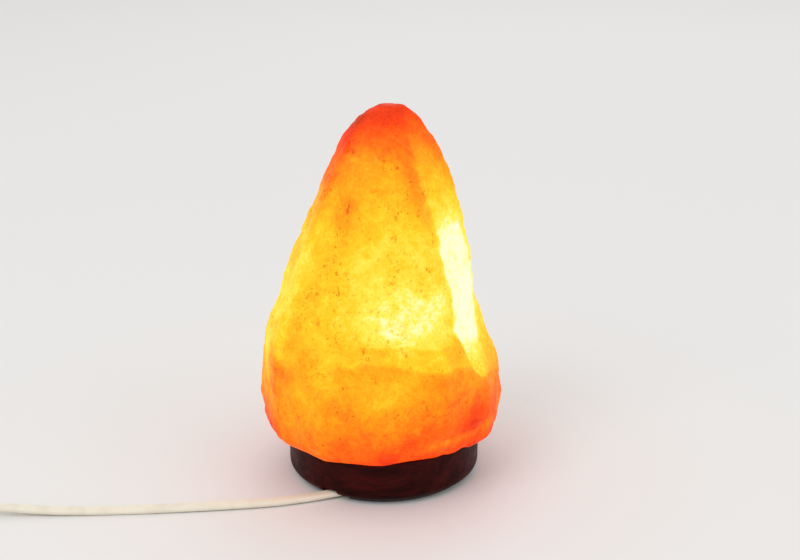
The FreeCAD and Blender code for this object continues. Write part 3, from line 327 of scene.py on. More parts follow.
lamp_route = [
    (0.0, -0.0084, 0.0048), (0.0, -0.0182, 0.0048), (-0.0039, -0.0276, 0.0043),
    (-0.0111, -0.0348, 0.0034), (-0.0230, -0.0392, 0.0026), (-0.0385, -0.0444, 0.0022),
    (-0.0550, -0.0489, 0.0021), (-0.0740, -0.0518, 0.0022), (-0.0990, -0.0546, 0.0020),
    (-0.1280, -0.0568, 0.0017), (-0.1580, -0.0583, 0.0019), (-0.1790, -0.0584, 0.0032),
    (-0.1920, -0.0586, 0.0044), (-0.2050, -0.0586, 0.0050), (-0.2150, -0.0586, 0.0050),
]


def lean(point):
    """How far the cord leans over on its side where it lies on the table, in degrees."""
    out = min(max((-point.x - 0.030) / 0.030, 0.0), 1.0)
    back = min(max((0.190 + point.x) / 0.040, 0.0), 1.0)
    return 8.0 * out * back


lamp_cord_line = route_line("lamp_route", lamp_route)
lamp_cord = twin_cord("lamp_cord", lamp_cord_line, "holder", lean)
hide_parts("cord_lamp_side")


# Cord, second stretch: the same cord from the switch, wound flat into a neat coil of two layers
# that spirals in on the table and out again on top, and on into the plug's sleeve.
coil_middle = (-0.340, -0.0151)
coil_outside = 0.0435
turn_step = 0.0062
inward_half_turns = 7
climb_inset = 0.0024
layer_levels = (0.0016, 0.0054)
plug_route = [
    (-0.309, -0.0586, 0.0050), (-0.315, -0.0586, 0.0050), (-0.327, -0.0586, 0.0016),
]
inside = coil_outside - inward_half_turns * turn_step / 2
points_per_half_turn = 6
corner_reach = 1 / math.cos(math.pi / points_per_half_turn / 2)
half_turns = inward_half_turns * 2 + 1
for i in range(half_turns * points_per_half_turn):
    wound = (i + 0.5) / points_per_half_turn
    climbed = min(max(wound - inward_half_turns, 0.0), 1.0)
    if wound < inward_half_turns:
        radius = coil_outside - wound * turn_step / 2
    elif climbed < 1.0:
        radius = inside - climb_inset * math.sin(math.pi * climbed) ** 2
    else:
        radius = inside + (wound - inward_half_turns - 1) * turn_step / 2
    rise = climbed * climbed * (3 - 2 * climbed)
    level = layer_levels[0] + (layer_levels[1] - layer_levels[0]) * rise
    angle = -math.pi / 2 - math.pi * wound
    plug_route.append((coil_middle[0] + radius * corner_reach * math.cos(angle),
                       coil_middle[1] + radius * corner_reach * math.sin(angle), level))
plug_bend = Vector((-0.3280, 0.0284, 0.0054))
plug_lead = 0.013
plug_heading = Vector((math.cos(math.radians(8.0)), math.sin(math.radians(8.0)), 0.0))
plug_route += [tuple(plug_bend + plug_heading * run) for run in (0.0, plug_lead, 0.031)]
plug_cord_line = route_line("plug_route", plug_route, resolution=8)
plug_cord = twin_cord("plug_cord", plug_cord_line, "holder")
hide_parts("cord_plug_side", "cord_coil")


# Salt crystal: a lump of orange rock salt, sawn flat underneath, drilled for the bulb, and left
# as it was hewn elsewhere. Its glow, the bulb's light coming through, is painted on as emission
# by place: nearly white where the wall is thin, and deep red at the top.
glow_colours = [
    (0.00, (255, 255, 214)), (0.06, (255, 250, 164)), (0.12, (255, 238, 84)),
    (0.25, (255, 206, 30)), (0.40, (255, 168, 10)), (0.52, (255, 136, 6)), (0.65, (255, 98, 2)),
    (0.78, (246, 62, 0)), (0.90, (226, 28, 0)), (1.00, (180, 14, 0)),
]
glow_course = (
    (0.024, 0.71), (0.031, 0.63), (0.042, 0.53), (0.053, 0.44), (0.063, 0.35), (0.073, 0.29),
    (0.086, 0.28), (0.100, 0.25), (0.118, 0.24), (0.132, 0.27), (0.148, 0.33), (0.160, 0.40),
    (0.170, 0.47), (0.178, 0.64), (0.186, 0.78), (0.192, 0.88), (0.198, 0.93),
)
facet_course = (
    (0.058, 0.30), (0.066, 0.21), (0.073, 0.16), (0.078, 0.09), (0.083, 0.00), (0.128, 0.00),
    (0.137, 0.09), (0.145, 0.20), (0.158, 0.32), (0.172, 0.46), (0.180, 0.60), (0.188, 0.76),
    (0.196, 0.92),
)
beyond_course = (
    (0.058, 0.46), (0.064, 0.36), (0.070, 0.33), (0.077, 0.27), (0.081, 0.24), (0.090, 0.19),
    (0.105, 0.14), (0.132, 0.16),
    (0.150, 0.29), (0.170, 0.46), (0.184, 0.66), (0.192, 0.86),
)
ridge_line = (
    (0.058, 0.0600), (0.062, 0.0515), (0.063, 0.0489), (0.068, 0.0447), (0.073, 0.0420),
    (0.078, 0.0404), (0.085, 0.0370), (0.089, 0.0346), (0.104, 0.0339), (0.1185, 0.0304),
    (0.135, 0.0268), (0.148, 0.0234), (0.1575, 0.0190), (0.171, 0.0162), (0.178, 0.0132),
    (0.186, 0.0118), (0.196, 0.0091),
)
edge_line = (
    (0.058, 0.0545), (0.070, 0.0512), (0.077, 0.0486), (0.088, 0.0470), (0.096, 0.0461),
    (0.109, 0.0449), (0.122, 0.0426), (0.133, 0.0394), (0.150, 0.0360), (0.170, 0.0300),
    (0.196, 0.0180),
)
strip_line = ((0.040, -0.0540), (0.054, -0.0519), (0.073, -0.0503), (0.104, -0.0434),
              (0.136, -0.0307), (0.150, -0.0240))
left_rim_line = ((0.132, -0.0387), (0.149, -0.0311), (0.161, -0.0265), (0.168, -0.0234),
                 (0.180, -0.0178), (0.190, -0.0110))
left_rim_tones = ((0.133, 0.00), (0.139, 0.09), (0.152, 0.11), (0.160, 0.19), (0.178, 0.19),
                  (0.192, 0.17))
right_rim_line = ((0.155, 0.0327), (0.161, 0.0307), (0.168, 0.0281), (0.174, 0.0256),
                  (0.180, 0.0220))
right_rim_tones = ((0.152, 0.00), (0.158, 0.06), (0.164, 0.07), (0.171, 0.14), (0.177, 0.08),
                   (0.182, 0.02))
upper_ledge_line = ((-0.030, 0.0880), (-0.0045, 0.0877), (0.012, 0.0872), (0.031, 0.0840))
lower_ledge_line = ((-0.030, 0.0780), (-0.0156, 0.0772), (-0.0078, 0.0815), (0.0043, 0.0791),
                    (0.0125, 0.0768), (0.035, 0.0722), (0.046, 0.0700))
orange_patches = (
    (-0.017, 0.150, 0.0060, 0.15), (-0.044, 0.083, 0.0080, 0.10), (-0.049, 0.067, 0.0065, 0.17),
    (0.046, 0.041, 0.0050, 0.11), (0.048, 0.049, 0.0045, 0.10), (0.050, 0.057, 0.0040, 0.08),
    (-0.030, 0.160, 0.0070, 0.10), (0.035, 0.066, 0.0090, 0.07), (-0.036, 0.079, 0.0045, 0.10),
    (0.004, 0.063, 0.0110, -0.06), (-0.012, 0.180, 0.0080, -0.06), (-0.033, 0.110, 0.0070, 0.06),
    (0.020, 0.112, 0.0050, 0.07), (-0.004, 0.056, 0.0130, -0.08), (0.024, 0.043, 0.0060, 0.05),
    (-0.037, 0.068, 0.0060, 0.07), (-0.027, 0.056, 0.0060, 0.06), (0.000, 0.036, 0.0100, -0.06),
    (-0.024, 0.163, 0.0070, 0.08), (0.012, 0.130, 0.0170, -0.09), (-0.036, 0.135, 0.0060, 0.06),
    (-0.019, 0.1425, 0.0045, 0.10), (-0.030, 0.1515, 0.0045, 0.10),
    (-0.0155, 0.179, 0.0055, 0.25), (-0.0225, 0.170, 0.0055, 0.17),
    (0.014, 0.038, 0.0050, 0.16), (0.010, 0.0853, 0.0040, -0.12), (0.009, 0.0765, 0.0040, 0.05),
    (0.044, 0.0425, 0.0080, 0.13), (0.006, 0.147, 0.0050, -0.09),
    (0.002, 0.0300, 0.0060, 0.18), (-0.022, 0.0290, 0.0060, -0.03),
    (-0.053, 0.068, 0.0045, 0.12), (-0.0555, 0.056, 0.0045, 0.16), (0.028, 0.068, 0.0050, 0.09),
)
fleck_clusters = (
    (-0.015, 0.152, 0.0030, 1.0), (-0.018, 0.136, 0.0040, 0.9), (-0.026, 0.124, 0.0060, 0.6),
    (-0.005, 0.136, 0.0035, 0.6), (0.004, 0.148, 0.0022, 1.1), (-0.028, 0.157, 0.0028, 1.0),
    (-0.016, 0.178, 0.0035, 1.0), (-0.009, 0.185, 0.0040, 0.8), (0.028, 0.146, 0.0020, 1.0),
    (0.006, 0.106, 0.0017, 1.6), (-0.026, 0.113, 0.0040, 0.8), (-0.044, 0.092, 0.0030, 0.8),
    (-0.023, 0.087, 0.0035, 0.6), (-0.004, 0.073, 0.0022, 1.1), (0.003, 0.074, 0.0017, 1.1),
    (0.036, 0.055, 0.0030, 0.7), (0.002, 0.056, 0.0035, 0.6), (0.014, 0.045, 0.0020, 1.0),
    (-0.019, 0.040, 0.0030, 0.8), (-0.054, 0.062, 0.0035, 0.8), (-0.039, 0.075, 0.0030, 0.8),
    (0.005, 0.118, 0.0050, 0.5), (-0.008, 0.105, 0.0040, 0.4),
)
chip_spacing = 0.011
chip_depth = 0.0007
chip_room, chip_edge = 0.62, 0.28
chip_tilt, chip_lift = 1.3, 0.4
waves = ((95.0, 0.0005), (260.0, 0.00024), (620.0, 0.00011))
sawn_blend = (0.0245, 0.0275)
relief_tone = 38.0
crystal_seed = 41
slab_seed = 8
slab_count = 26
slab_seam = 0.0035
slab_levels = (0.030, 0.180)
slab_reach, slab_peak = 0.060, 0.23
upper_ledge_step, lower_ledge_step = 0.0006, 0.0005
crystal_voxel = 0.0012
chip_tries = 1600
foot_level = 0.024
bore_radius, bore_top = 0.0245, 0.1155
anchor_reach, anchor_top = 0.0365, 0.0470


def soft_step(value, low, high):
    """Runs smoothly from 0 to 1 between two values."""
    share = np.clip((value - low) / (high - low), 0.0, 1.0)
    return share * share * (3 - 2 * share)


def between(value, low, full, fall, end):
    """Runs smoothly from 0 to 1 and later back to 0."""
    return soft_step(value, low, full) * (1 - soft_step(value, fall, end))


def bump_at(value, middle, width):
    """A smooth hump, 1 at its middle."""
    return np.exp(-((value - middle) / width) ** 2)


def plateau_at(value, middle, reach):
    """A hump with a flat top, 1 at its middle."""
    return np.exp(-((value - middle) / reach) ** 4)


def along(line, places):
    """What the line gives at each place."""
    stations, values = zip(*line)
    return np.interp(places, stations, values)


def even_copy(source, name, voxel, rounds=2):
    """A copy of a CAD piece with an even mesh and its edges a little softened."""
    piece = nodes[source].copy()
    piece.data = nodes[source].data.copy()
    piece.name = name
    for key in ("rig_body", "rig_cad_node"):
        if key in piece:
            del piece[key]
    piece.parent = None
    bpy.context.scene.collection.objects.link(piece)
    remesh = piece.modifiers.new("even_mesh", "REMESH")
    remesh.mode = "VOXEL"
    remesh.voxel_size = voxel
    smooth = piece.modifiers.new("softened", "SMOOTH")
    smooth.factor = 0.5
    smooth.iterations = rounds
    bpy.context.view_layer.update()
    depsgraph = bpy.context.evaluated_depsgraph_get()
    mesh = bpy.data.meshes.new_from_object(piece.evaluated_get(depsgraph))
    piece.modifiers.clear()
    piece.data = mesh
    mesh.name = name
    return piece


def surface_of(mesh):
    """Where a mesh's points are, and which way each of them faces."""
    places = np.empty(len(mesh.vertices) * 3)
    mesh.vertices.foreach_get("co", places)
    facing = np.empty(len(mesh.vertices) * 3)
    mesh.vertices.foreach_get("normal", facing)
    return places.reshape(-1, 3), facing.reshape(-1, 3)


crystal = even_copy("salt_crystal", "hewn_crystal", crystal_voxel, 8)
even = crystal.data
count = len(even.vertices)
spots, normals = surface_of(even)
from_axis = np.hypot(spots[:, 0], spots[:, 1])
outward = (normals[:, 0] * spots[:, 0] + normals[:, 1] * spots[:, 1]) / np.maximum(from_axis, 1e-6)
bored = (from_axis < bore_radius) & (spots[:, 2] < bore_top)
anchored = (spots[:, 2] < anchor_top) & (from_axis < anchor_reach) & (outward < 0.9)
hewn = np.where(bored | anchored, 0.0, 1.0) * soft_step(spots[:, 2], *sawn_blend)

chips = random.Random(crystal_seed)
picks = [pick for pick in (chips.randrange(count) for i in range(chip_tries))
         if hewn[pick] > 0.5]
pick_tree = KDTree(len(picks))
for i, pick in enumerate(picks):
    pick_tree.insert(spots[pick], i)
pick_tree.balance()
taken = set()
chip_middles = []
for i, pick in enumerate(picks):
    if i not in taken:
        taken.update(other for place, other, distance in
                     pick_tree.find_range(spots[pick], chip_spacing * chip_room))
        chip_middles.append(pick)
tilts = [Vector((chips.uniform(-1, 1), chips.uniform(-1, 1), chips.uniform(-1, 1)))
         for pick in chip_middles]
offsets = [chips.uniform(-1, 1) for pick in chip_middles]
chip_tree = KDTree(len(chip_middles))
for i, pick in enumerate(chip_middles):
    chip_tree.insert(spots[pick], i)
chip_tree.balance()

push = np.zeros(count)
for i in range(count):
    if hewn[i] == 0.0:
        continue
    here = Vector(spots[i])
    total, weight = 0.0, 0.0
    for place, number, distance in chip_tree.find_n(here, 3):
        share = math.exp(-(distance / (chip_spacing * chip_edge)) ** 2)
        slope = tilts[number].dot(here - place) / chip_spacing
        total += share * (slope * chip_tilt + offsets[number] * chip_lift)
        weight += share
    chip = total / max(weight, 1e-9)
    roll, fine, finest = (noise.noise(here * scale) * height for scale, height in waves)
    push[i] = chip * chip_depth + roll + (fine + finest)

slabs = random.Random(slab_seed)
slab_tree = KDTree(slab_count)
slab_tones = []
for i in range(slab_count):
    turn = slabs.uniform(0.0, 2 * math.pi)
    height = slabs.uniform(*slab_levels)
    reach = slab_reach * (1 - height / slab_peak)
    slab_tree.insert((reach * math.cos(turn), reach * math.sin(turn), height), i)
    slab_tones.append(slabs.uniform(-1.0, 1.0))
slab_tree.balance()
slab_tone = np.zeros(count)
for i in range(count):
    near, far = slab_tree.find_n(Vector(spots[i]), 2)
    seam = min(max((far[2] - near[2]) / slab_seam, 0.0), 1.0)
    middle = (slab_tones[near[1]] + slab_tones[far[1]]) / 2
    slab_tone[i] = middle + (slab_tones[near[1]] - middle) * seam

# How deep the glow is at each spot, from 0 for nearly white to 1 for deep red. It is set by place
# and not by the wall's real thickness: tones by height for the front, the bright facet and what
# lies beyond it, then the ledges, rims, patches and flecks, with the relief and the slabs on top.
across, level = spots[:, 0], spots[:, 2]
front = soft_step(-spots[:, 1], 0.006, 0.028)
front_right = soft_step(-spots[:, 1], -0.020, 0.000)
ridge_place = along(ridge_line, level)
edge_place = along(edge_line, level)
left_of_ridge = 1 - soft_step(across, ridge_place - 0.0008, ridge_place + 0.0014) * front_right
waver = 0.0005 * np.sin(across * 230.0) + 0.0003 * np.sin(across * 530.0 + 1.0)
upper_ledge = along(upper_ledge_line, across) + waver
lower_ledge = along(lower_ledge_line, across) + waver
ledge_front = front * left_of_ridge * soft_step(across, -0.030, -0.016)
below_upper = ledge_front * (1 - soft_step(level, upper_ledge - 0.0010, upper_ledge + 0.0008))
below_lower = ledge_front * (1 - soft_step(level, lower_ledge - 0.0010, lower_ledge + 0.0010))
push += upper_ledge_step * below_upper + lower_ledge_step * below_lower
spots += normals * (push * hewn)[:, None]
spots[:, 2] = np.maximum(spots[:, 2], foot_level)
even.vertices.foreach_set("co", spots.ravel())
even.update()
even.shade_smooth()

right_of_edge = soft_step(across, edge_place - 0.0012, edge_place + 0.0016)
depth = along(glow_course, level) + 0.02 * (1 - front)
depth += relief_tone * push
depth += slab_tone * (0.015 + 0.085 * (1 - front)) * (1 - soft_step(level, 0.172, 0.188))
bulb_glow = plateau_at(across, 0.012, 0.024) * plateau_at(level, 0.099, 0.016)
depth -= 0.155 * front * bulb_glow * (1 - 0.75 * below_upper)
depth += 0.055 * below_lower
depth += 0.030 * ledge_front * bump_at(level, lower_ledge - 0.0030, 0.0026)
depth -= 0.035 * ledge_front * bump_at(level, lower_ledge + 0.0018, 0.0018)
depth += 0.13 * left_of_ridge * front_right * bump_at(across, ridge_place - 0.0035, 0.0042) * (
    between(level, 0.126, 0.160, 0.172, 0.182))
depth += 0.05 * soft_step(across, 0.050, 0.060) * front
strip_place = along(strip_line, level)
in_strip = soft_step(strip_place - across, -0.0006, 0.0010)
in_strip *= between(level, 0.034, 0.050, 0.132, 0.146)
depth += (0.10 * bump_at(across, strip_place + 0.0010, 0.0016) - 0.07) * in_strip
depth += 0.14 * soft_step(-across, 0.050, 0.056) * front * (1 - soft_step(level, 0.074, 0.086))
depth += 0.03 * soft_step(across, 0.010, 0.030) * front * (1 - soft_step(level, 0.060, 0.070))
depth += 0.07 * soft_step(across, 0.0550, 0.0580) * between(level, 0.020, 0.026, 0.052, 0.062)
depth -= 0.05 * (1 - front) * soft_step(-across, 0.050, 0.056) * bump_at(level, 0.050, 0.010)
left_rim = along(left_rim_line, level)
depth += along(left_rim_tones, level) * soft_step(left_rim - across, -0.0045, 0.0005)
for patch_across, patch_level, size, strength in orange_patches:
    away = ((across - patch_across) / size) ** 2 + ((level - patch_level) / size) ** 2
    depth += strength * front * np.exp(-away)
fleck_share = np.zeros(count)
for cluster_across, cluster_level, size, strength in fleck_clusters:
    away = ((across - cluster_across) / size) ** 2 + ((level - cluster_level) / size) ** 2
    fleck_share += strength * front * np.exp(-away)
depth += 0.06 * fleck_share
rim_level = 0.0345 + 0.10 * np.maximum(across - 0.030, 0.0)
depth -= 0.13 * soft_step(across, 0.006, 0.030) * bump_at(level, rim_level, 0.0030)
depth_right = along(facet_course, level) * (1 - right_of_edge) + (
    along(beyond_course, level) * right_of_edge)
depth_right += relief_tone * 0.5 * push
lobe_reach = soft_step(level, 0.060, 0.064)
right_rim = along(right_rim_line, level)
depth_right += along(right_rim_tones, level) * soft_step(across - right_rim, -0.0045, 0.0005)
right_share = (1 - left_of_ridge) * lobe_reach
depth = depth * (1 - right_share) + depth_right * right_share
depth = np.where(bored, 0.10, depth)
# The painted glow's depth and the flecks are kept on the mesh's points.
for name, values in (("salt_glow_depth", depth), ("salt_flecks", fleck_share)):
    layer = even.attributes.new(name, "FLOAT", "POINT")
    layer.data.foreach_set("value", np.clip(values, 0.0, 1.0).astype(np.float32))

salt_group, given, gives = finish_group(
    "hewn_salt", {"Depth": 0.5, "Flecks": 0.0},
    {"Glow": "Color", "Stone": "Color", "Roughness": "Float", "Height": "Float"})
where = place_on_piece(salt_group)
cloud = clouded(salt_group, where, 55.0, detail=5.0, roughness=0.6, distortion=0.5)
mottle = clouded(salt_group, where, 230.0, detail=4.0, roughness=0.7, distortion=0.4)
grit = clouded(salt_group, where, 620.0, detail=3.0, roughness=0.7)
stretch = add_node(salt_group, "ShaderNodeMapping", {
    "Vector": where, "Scale": (1.0, 1.0, 0.55), "Rotation": (0.3, 0.7, 0.2)}).outputs[0]
jumble = add_node(salt_group, "ShaderNodeTexNoise", {
    "Vector": where, "Scale": 900.0, "Detail": 2.0}).outputs["Color"]
jumble = add_node(salt_group, "ShaderNodeVectorMath", {
    0: jumble, 1: (0.0034, 0.0034, 0.0034)}, operation="MULTIPLY").outputs[0]
jumbled = add_node(salt_group, "ShaderNodeVectorMath", {0: where, 1: jumble}).outputs[0]
flocks = clouded(salt_group, where, 75.0, detail=3.0, distortion=0.4)
flocks = sum_of(salt_group, flocks, sum_of(salt_group, given["Flecks"], 0.25, "MULTIPLY"))
streaks = clouded(salt_group, stretch, 300.0, detail=3.0, roughness=0.6)
streak = ranged(salt_group, streaks, 0.60, 0.70)
flock = ranged(salt_group, flocks, 0.50, 0.64)
specks = sum_of(salt_group, streak, flock, "MULTIPLY")
for cell_scale, sparse, widest, flock_low, flock_high in (
    (640.0, 0.40, 0.52, 0.46, 0.60),
    (330.0, 0.70, 0.42, 0.46, 0.58),
    (190.0, 0.93, 0.26, 0.38, 0.50),
):
    cells = add_node(salt_group, "ShaderNodeTexVoronoi", {"Vector": jumbled, "Scale": cell_scale})
    chance = add_node(salt_group, "ShaderNodeSeparateColor", {
        0: cells.outputs["Color"]}).outputs[0]
    radius = ranged(salt_group, chance, sparse, 1.0, to_high=widest)
    within = sum_of(salt_group, radius, cells.outputs["Distance"], "SUBTRACT")
    fleck = ranged(salt_group, within, 0.0, 0.18)
    flock = ranged(salt_group, flocks, flock_low, flock_high)
    specks = sum_of(salt_group, specks, sum_of(salt_group, fleck, flock, "MULTIPLY"), "MAXIMUM")
lit_through = ranged(salt_group, given["Depth"], 0.03, 0.20, to_low=0.15)
specks = sum_of(salt_group, specks, lit_through, "MULTIPLY")
veins = clouded(salt_group, stretch, 110.0, detail=4.0, roughness=0.65, distortion=1.6)
vein = ranged(salt_group, veins, 0.60, 0.72)
shift = 0.0
for pattern, middle, strength in ((cloud, 0.5, 0.24), (mottle, 0.5, 0.27), (vein, 0.0, 0.07),
                                  (grit, 0.5, 0.20)):
    away = sum_of(salt_group, pattern, -middle)
    shift = sum_of(salt_group, shift, sum_of(salt_group, away, strength, "MULTIPLY"))
place_on_ramp = sum_of(salt_group, given["Depth"], shift, clamp=True)
ramp = add_node(salt_group, "ShaderNodeValToRGB", {"Fac": place_on_ramp})
while len(ramp.color_ramp.elements) > 1:
    ramp.color_ramp.elements.remove(ramp.color_ramp.elements[-1])
ramp.color_ramp.elements[0].position = glow_colours[0][0]
ramp.color_ramp.elements[0].color = linear(*glow_colours[0][1])
for share, colour in glow_colours[1:]:
    ramp.color_ramp.elements.new(share).color = linear(*colour)
dark_speck = mixed(salt_group, 1.0, ramp.outputs["Color"], (0.60, 0.30, 0.10, 1), "MULTIPLY")
feed(salt_group, gives, "Glow", mixed(
    salt_group, sum_of(salt_group, specks, 0.75, "MULTIPLY"), ramp.outputs["Color"], dark_speck))
rock = mixed(salt_group, cloud, (0.16, 0.030, 0.004, 1), (0.20, 0.048, 0.008, 1))
rock = mixed(salt_group, specks, rock, (0.08, 0.014, 0.003, 1))
feed(salt_group, gives, "Stone", rock)
feed(salt_group, gives, "Roughness", ranged(salt_group, mottle, 0.3, 0.7, 0.40, 0.62))
mottle_height = sum_of(salt_group, mottle, 0.45, "MULTIPLY")
grit_height = sum_of(salt_group, grit, 0.22, "MULTIPLY")
feed(salt_group, gives, "Height",
     sum_of(salt_group, cloud, sum_of(salt_group, mottle_height, grit_height)))

# The salt's glow is painted emission, its tone taken from the stored glow depth; the stone's own
# colour lies under it.
salt_finish, tree, shader = new_finish("salt", IOR=1.54, Emission_Strength=1.0,
                                       Specular_IOR_Level=0.07)
glow_depth_of_salt = add_node(tree, "ShaderNodeAttribute", attribute_name="salt_glow_depth").outputs["Fac"]
flecks_of_salt = add_node(tree, "ShaderNodeAttribute", attribute_name="salt_flecks").outputs["Fac"]
salt = use_group(tree, salt_group, Depth=glow_depth_of_salt, Flecks=flecks_of_salt)
feed(tree, shader, "Base Color", salt["Stone"])
feed(tree, shader, "Emission Color", salt["Glow"])
feed(tree, shader, "Roughness", salt["Roughness"])
raise_surface(tree, shader, salt["Height"], 0.0012, 0.8)
even.materials.clear()
even.materials.append(salt_finish)
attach(crystal, "lamp_body")
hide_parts("salt_crystal")


# Base: a disc turned from close-grained hardwood, stained a deep red-brown and waxed. Three screws
# through it hold the crystal, and a ring of black felt is glued under its rim.
turned_wood, given, gives = finish_group(
    "turned_wood", {"Early Wood": (0.1, 0.03, 0.02, 1.0), "Late Wood": (0.04, 0.01, 0.008, 1.0),
                    "Gloss": 0.35},
    {"Colour": "Color", "Roughness": "Float", "Height": "Float"})
where = place_on_piece(turned_wood)
board = add_node(turned_wood, "ShaderNodeMapping", {
    "Vector": where, "Scale": (0.09, 1.0, 1.0), "Rotation": (0.25, 0.05, 0.3)}).outputs[0]
rings = clouded(turned_wood, board, 190.0, detail=5.0, roughness=0.6, distortion=0.5)
pores_in = add_node(turned_wood, "ShaderNodeMapping", {
    "Vector": where, "Scale": (0.05, 1.0, 1.0), "Rotation": (0.25, 0.05, 0.3)}).outputs[0]
pore = ranged(turned_wood, clouded(turned_wood, pores_in, 1500.0), 0.56, 0.66)
bent = add_node(turned_wood, "ShaderNodeNewGeometry").outputs["Pointiness"]
edge = ranged(turned_wood, bent, 0.50, 0.56, to_high=0.5)
grain_share = ranged(turned_wood, rings, 0.38, 0.64)
wood = mixed(turned_wood, grain_share, given["Early Wood"], given["Late Wood"])
pore_share = sum_of(turned_wood, pore, 0.6, "MULTIPLY")
wood = mixed(turned_wood, pore_share, wood, (0.006, 0.002, 0.002, 1))
feed(turned_wood, gives, "Colour", mixed(turned_wood, edge, wood, given["Early Wood"]))
feed(turned_wood, gives, "Roughness", sum_of(
    turned_wood, given["Gloss"], sum_of(turned_wood, grain_share, 0.14, "MULTIPLY")))
feed(turned_wood, gives, "Height", sum_of(
    turned_wood, sum_of(turned_wood, rings, 0.5, "MULTIPLY"),
    sum_of(turned_wood, pore, -0.5, "MULTIPLY")))

base_finish, tree, shader = new_finish("stained_wood", Specular_IOR_Level=0.06)
wood = use_group(tree, turned_wood, Early_Wood=linear(62, 11, 8), Late_Wood=linear(27, 4, 3))
feed(tree, shader, "Base Color", wood["Colour"])
feed(tree, shader, "Roughness", wood["Roughness"])
raise_surface(tree, shader, wood["Height"], 0.00025)


def refinish(finish, slot_name, *names):
    """Gives CAD pieces their finish."""
    for name in names:
        piece = nodes[name]
        if piece.material_slots:
            for slot in piece.material_slots:
                slot.material = finish
        else:
            piece.data.materials.append(finish)


refinish(base_finish, "stained_wood", "wooden_base")

felt_finish, tree, shader = new_finish("felt", Roughness=0.95, Sheen_Weight=0.4)
fibres = clouded(tree, place_on_piece(tree), 2200.0, detail=3.0, distortion=2.0)
feed(tree, shader, "Base Color", mixed(tree, fibres, linear(24, 22, 22), linear(62, 58, 57)))
raise_surface(tree, shader, fibres, 0.0004)
refinish(felt_finish, "felt", "felt_foot")


# Fixings: zinc-plated steel screws, pins and rivets, headed and turned from wire, and grey plastic
# anchors that sit in bores in the stone and take the three screws that come up through the base.
metal_skin, given, gives = finish_group(
    "worked_metal", {"Colour": (0.6, 0.6, 0.6, 1.0), "Tarnish": (0.3, 0.3, 0.3, 1.0),
                     "Gloss": 0.3},
    {"Colour": "Color", "Roughness": "Float", "Height": "Float"})
where = place_on_piece(metal_skin)
drawn = add_node(metal_skin, "ShaderNodeMapping", {
    "Vector": where, "Scale": (1.0, 1.0, 0.12)}).outputs[0]
streaks = clouded(metal_skin, drawn, 500.0, detail=3.0)
stain = clouded(metal_skin, where, 160.0, detail=4.0)
stained = ranged(metal_skin, stain, 0.5, 0.75, to_high=0.7)
feed(metal_skin, gives, "Colour", mixed(metal_skin, stained, given["Colour"], given["Tarnish"]))
feed(metal_skin, gives, "Roughness", sum_of(
    metal_skin, given["Gloss"], sum_of(metal_skin, streaks, 0.2, "MULTIPLY")))
feed(metal_skin, gives, "Height", streaks)


def metal_finish(name, colour, tarnish, gloss):
    """Plated or bare metal with drawing marks and light tarnish."""
    material, tree, shader = new_finish(name, Metallic=1.0)
    skin = use_group(tree, metal_skin, Colour=linear(*colour), Tarnish=linear(*tarnish),
                     Gloss=gloss)
    feed(tree, shader, "Base Color", skin["Colour"])
    feed(tree, shader, "Roughness", skin["Roughness"])
    raise_surface(tree, shader, skin["Height"], 0.00002)
    return material


refinish(metal_finish("screw_steel", (206, 206, 208), (150, 146, 138), 0.25), "screw_steel",
         "base_screws", "switch_case_screws", "terminal_screws", "switch_terminal_screws",
         "rocker_pin", "wing_rivets", "plunger_spring")
refinish(moulded_finish("anchor_plastic", (150, 152, 154), (118, 120, 122), 0.5, 0.0001),
         "anchor_plastic", "screw_anchors")


# Bulb holder: a white moulded cup, flange and tube, with two spring wings that grip the wood, a
# fired disc that carries the brass contacts, and the cord clamp.
refinish(moulded_finish("holder_plastic", (232, 230, 222), (206, 202, 190), 0.32, 0.00004),
         "holder_plastic", "holder_cap", "holder_shell", "cord_clamp", "clamp_posts")
refinish(metal_finish("spring_steel", (190, 192, 196), (120, 118, 116), 0.3), "spring_steel",
         "spring_wings")
refinish(moulded_finish("steatite", (230, 226, 214), (204, 196, 178), 0.6, 0.0001, wear=0.1),
         "steatite", "contact_carrier")
refinish(metal_finish("contact_brass", (212, 176, 96), (140, 104, 48), 0.28), "contact_brass",
         "centre_contact", "terminal_blocks", "contact_saddle", "contact_seesaw",
         "switch_terminals", "switch_neutral_link")
shell_metal = metal_finish("shell_nickel", (205, 203, 198), (150, 142, 128), 0.26)
thread_pitch = 0.00282
thread_runout = 0.0015
sheet_step = 0.0004


def rolled_thread(name, outline, roll, low, high, body):
    """A sheet-metal part turned about the lamp's axis, its thread rolled between two heights."""
    stations = []
    for (radius, height), (next_radius, next_height) in zip(outline, outline[1:] + outline[:1]):
        length = math.hypot(next_radius - radius, next_height - height)
        steps = max(1, math.ceil(length / sheet_step))
        stations += [(radius + (next_radius - radius) * i / steps,
                      height + (next_height - height) * i / steps) for i in range(steps)]
    around = 96
    verts = []
    for radius, height in stations:
        fade = min(max((height - low) / thread_runout, 0.0), 1.0)
        fade *= min(max((high - height) / thread_runout, 0.0), 1.0)
        for i in range(around):
            angle = 2 * math.pi * i / around
            wave = 0.5 + 0.5 * math.cos(2 * math.pi * height / thread_pitch - angle)
            reach = radius + roll * wave * fade
            verts.append((reach * math.cos(angle), reach * math.sin(angle), height))
    total = len(stations)
    faces = [(i * around + j, i * around + (j + 1) % around,
              (i + 1) % total * around + (j + 1) % around, (i + 1) % total * around + j)
             for i in range(total) for j in range(around)]
    return new_piece(name, verts, faces, shell_metal, body)


threaded_shell = rolled_thread("threaded_shell", [
    (0.0032, 0.0288), (0.00765, 0.0288), (0.00765, 0.0478), (0.0073, 0.0478),
    (0.0073, 0.02915), (0.0032, 0.02915),
], 0.00045, 0.0300, 0.0470, "holder")
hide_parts("screw_shell")
refinish(moulded_finish("core_sleeves", (60, 92, 168), (42, 66, 128), 0.4, 0.00005),
         "core_sleeves", "holder_cores")


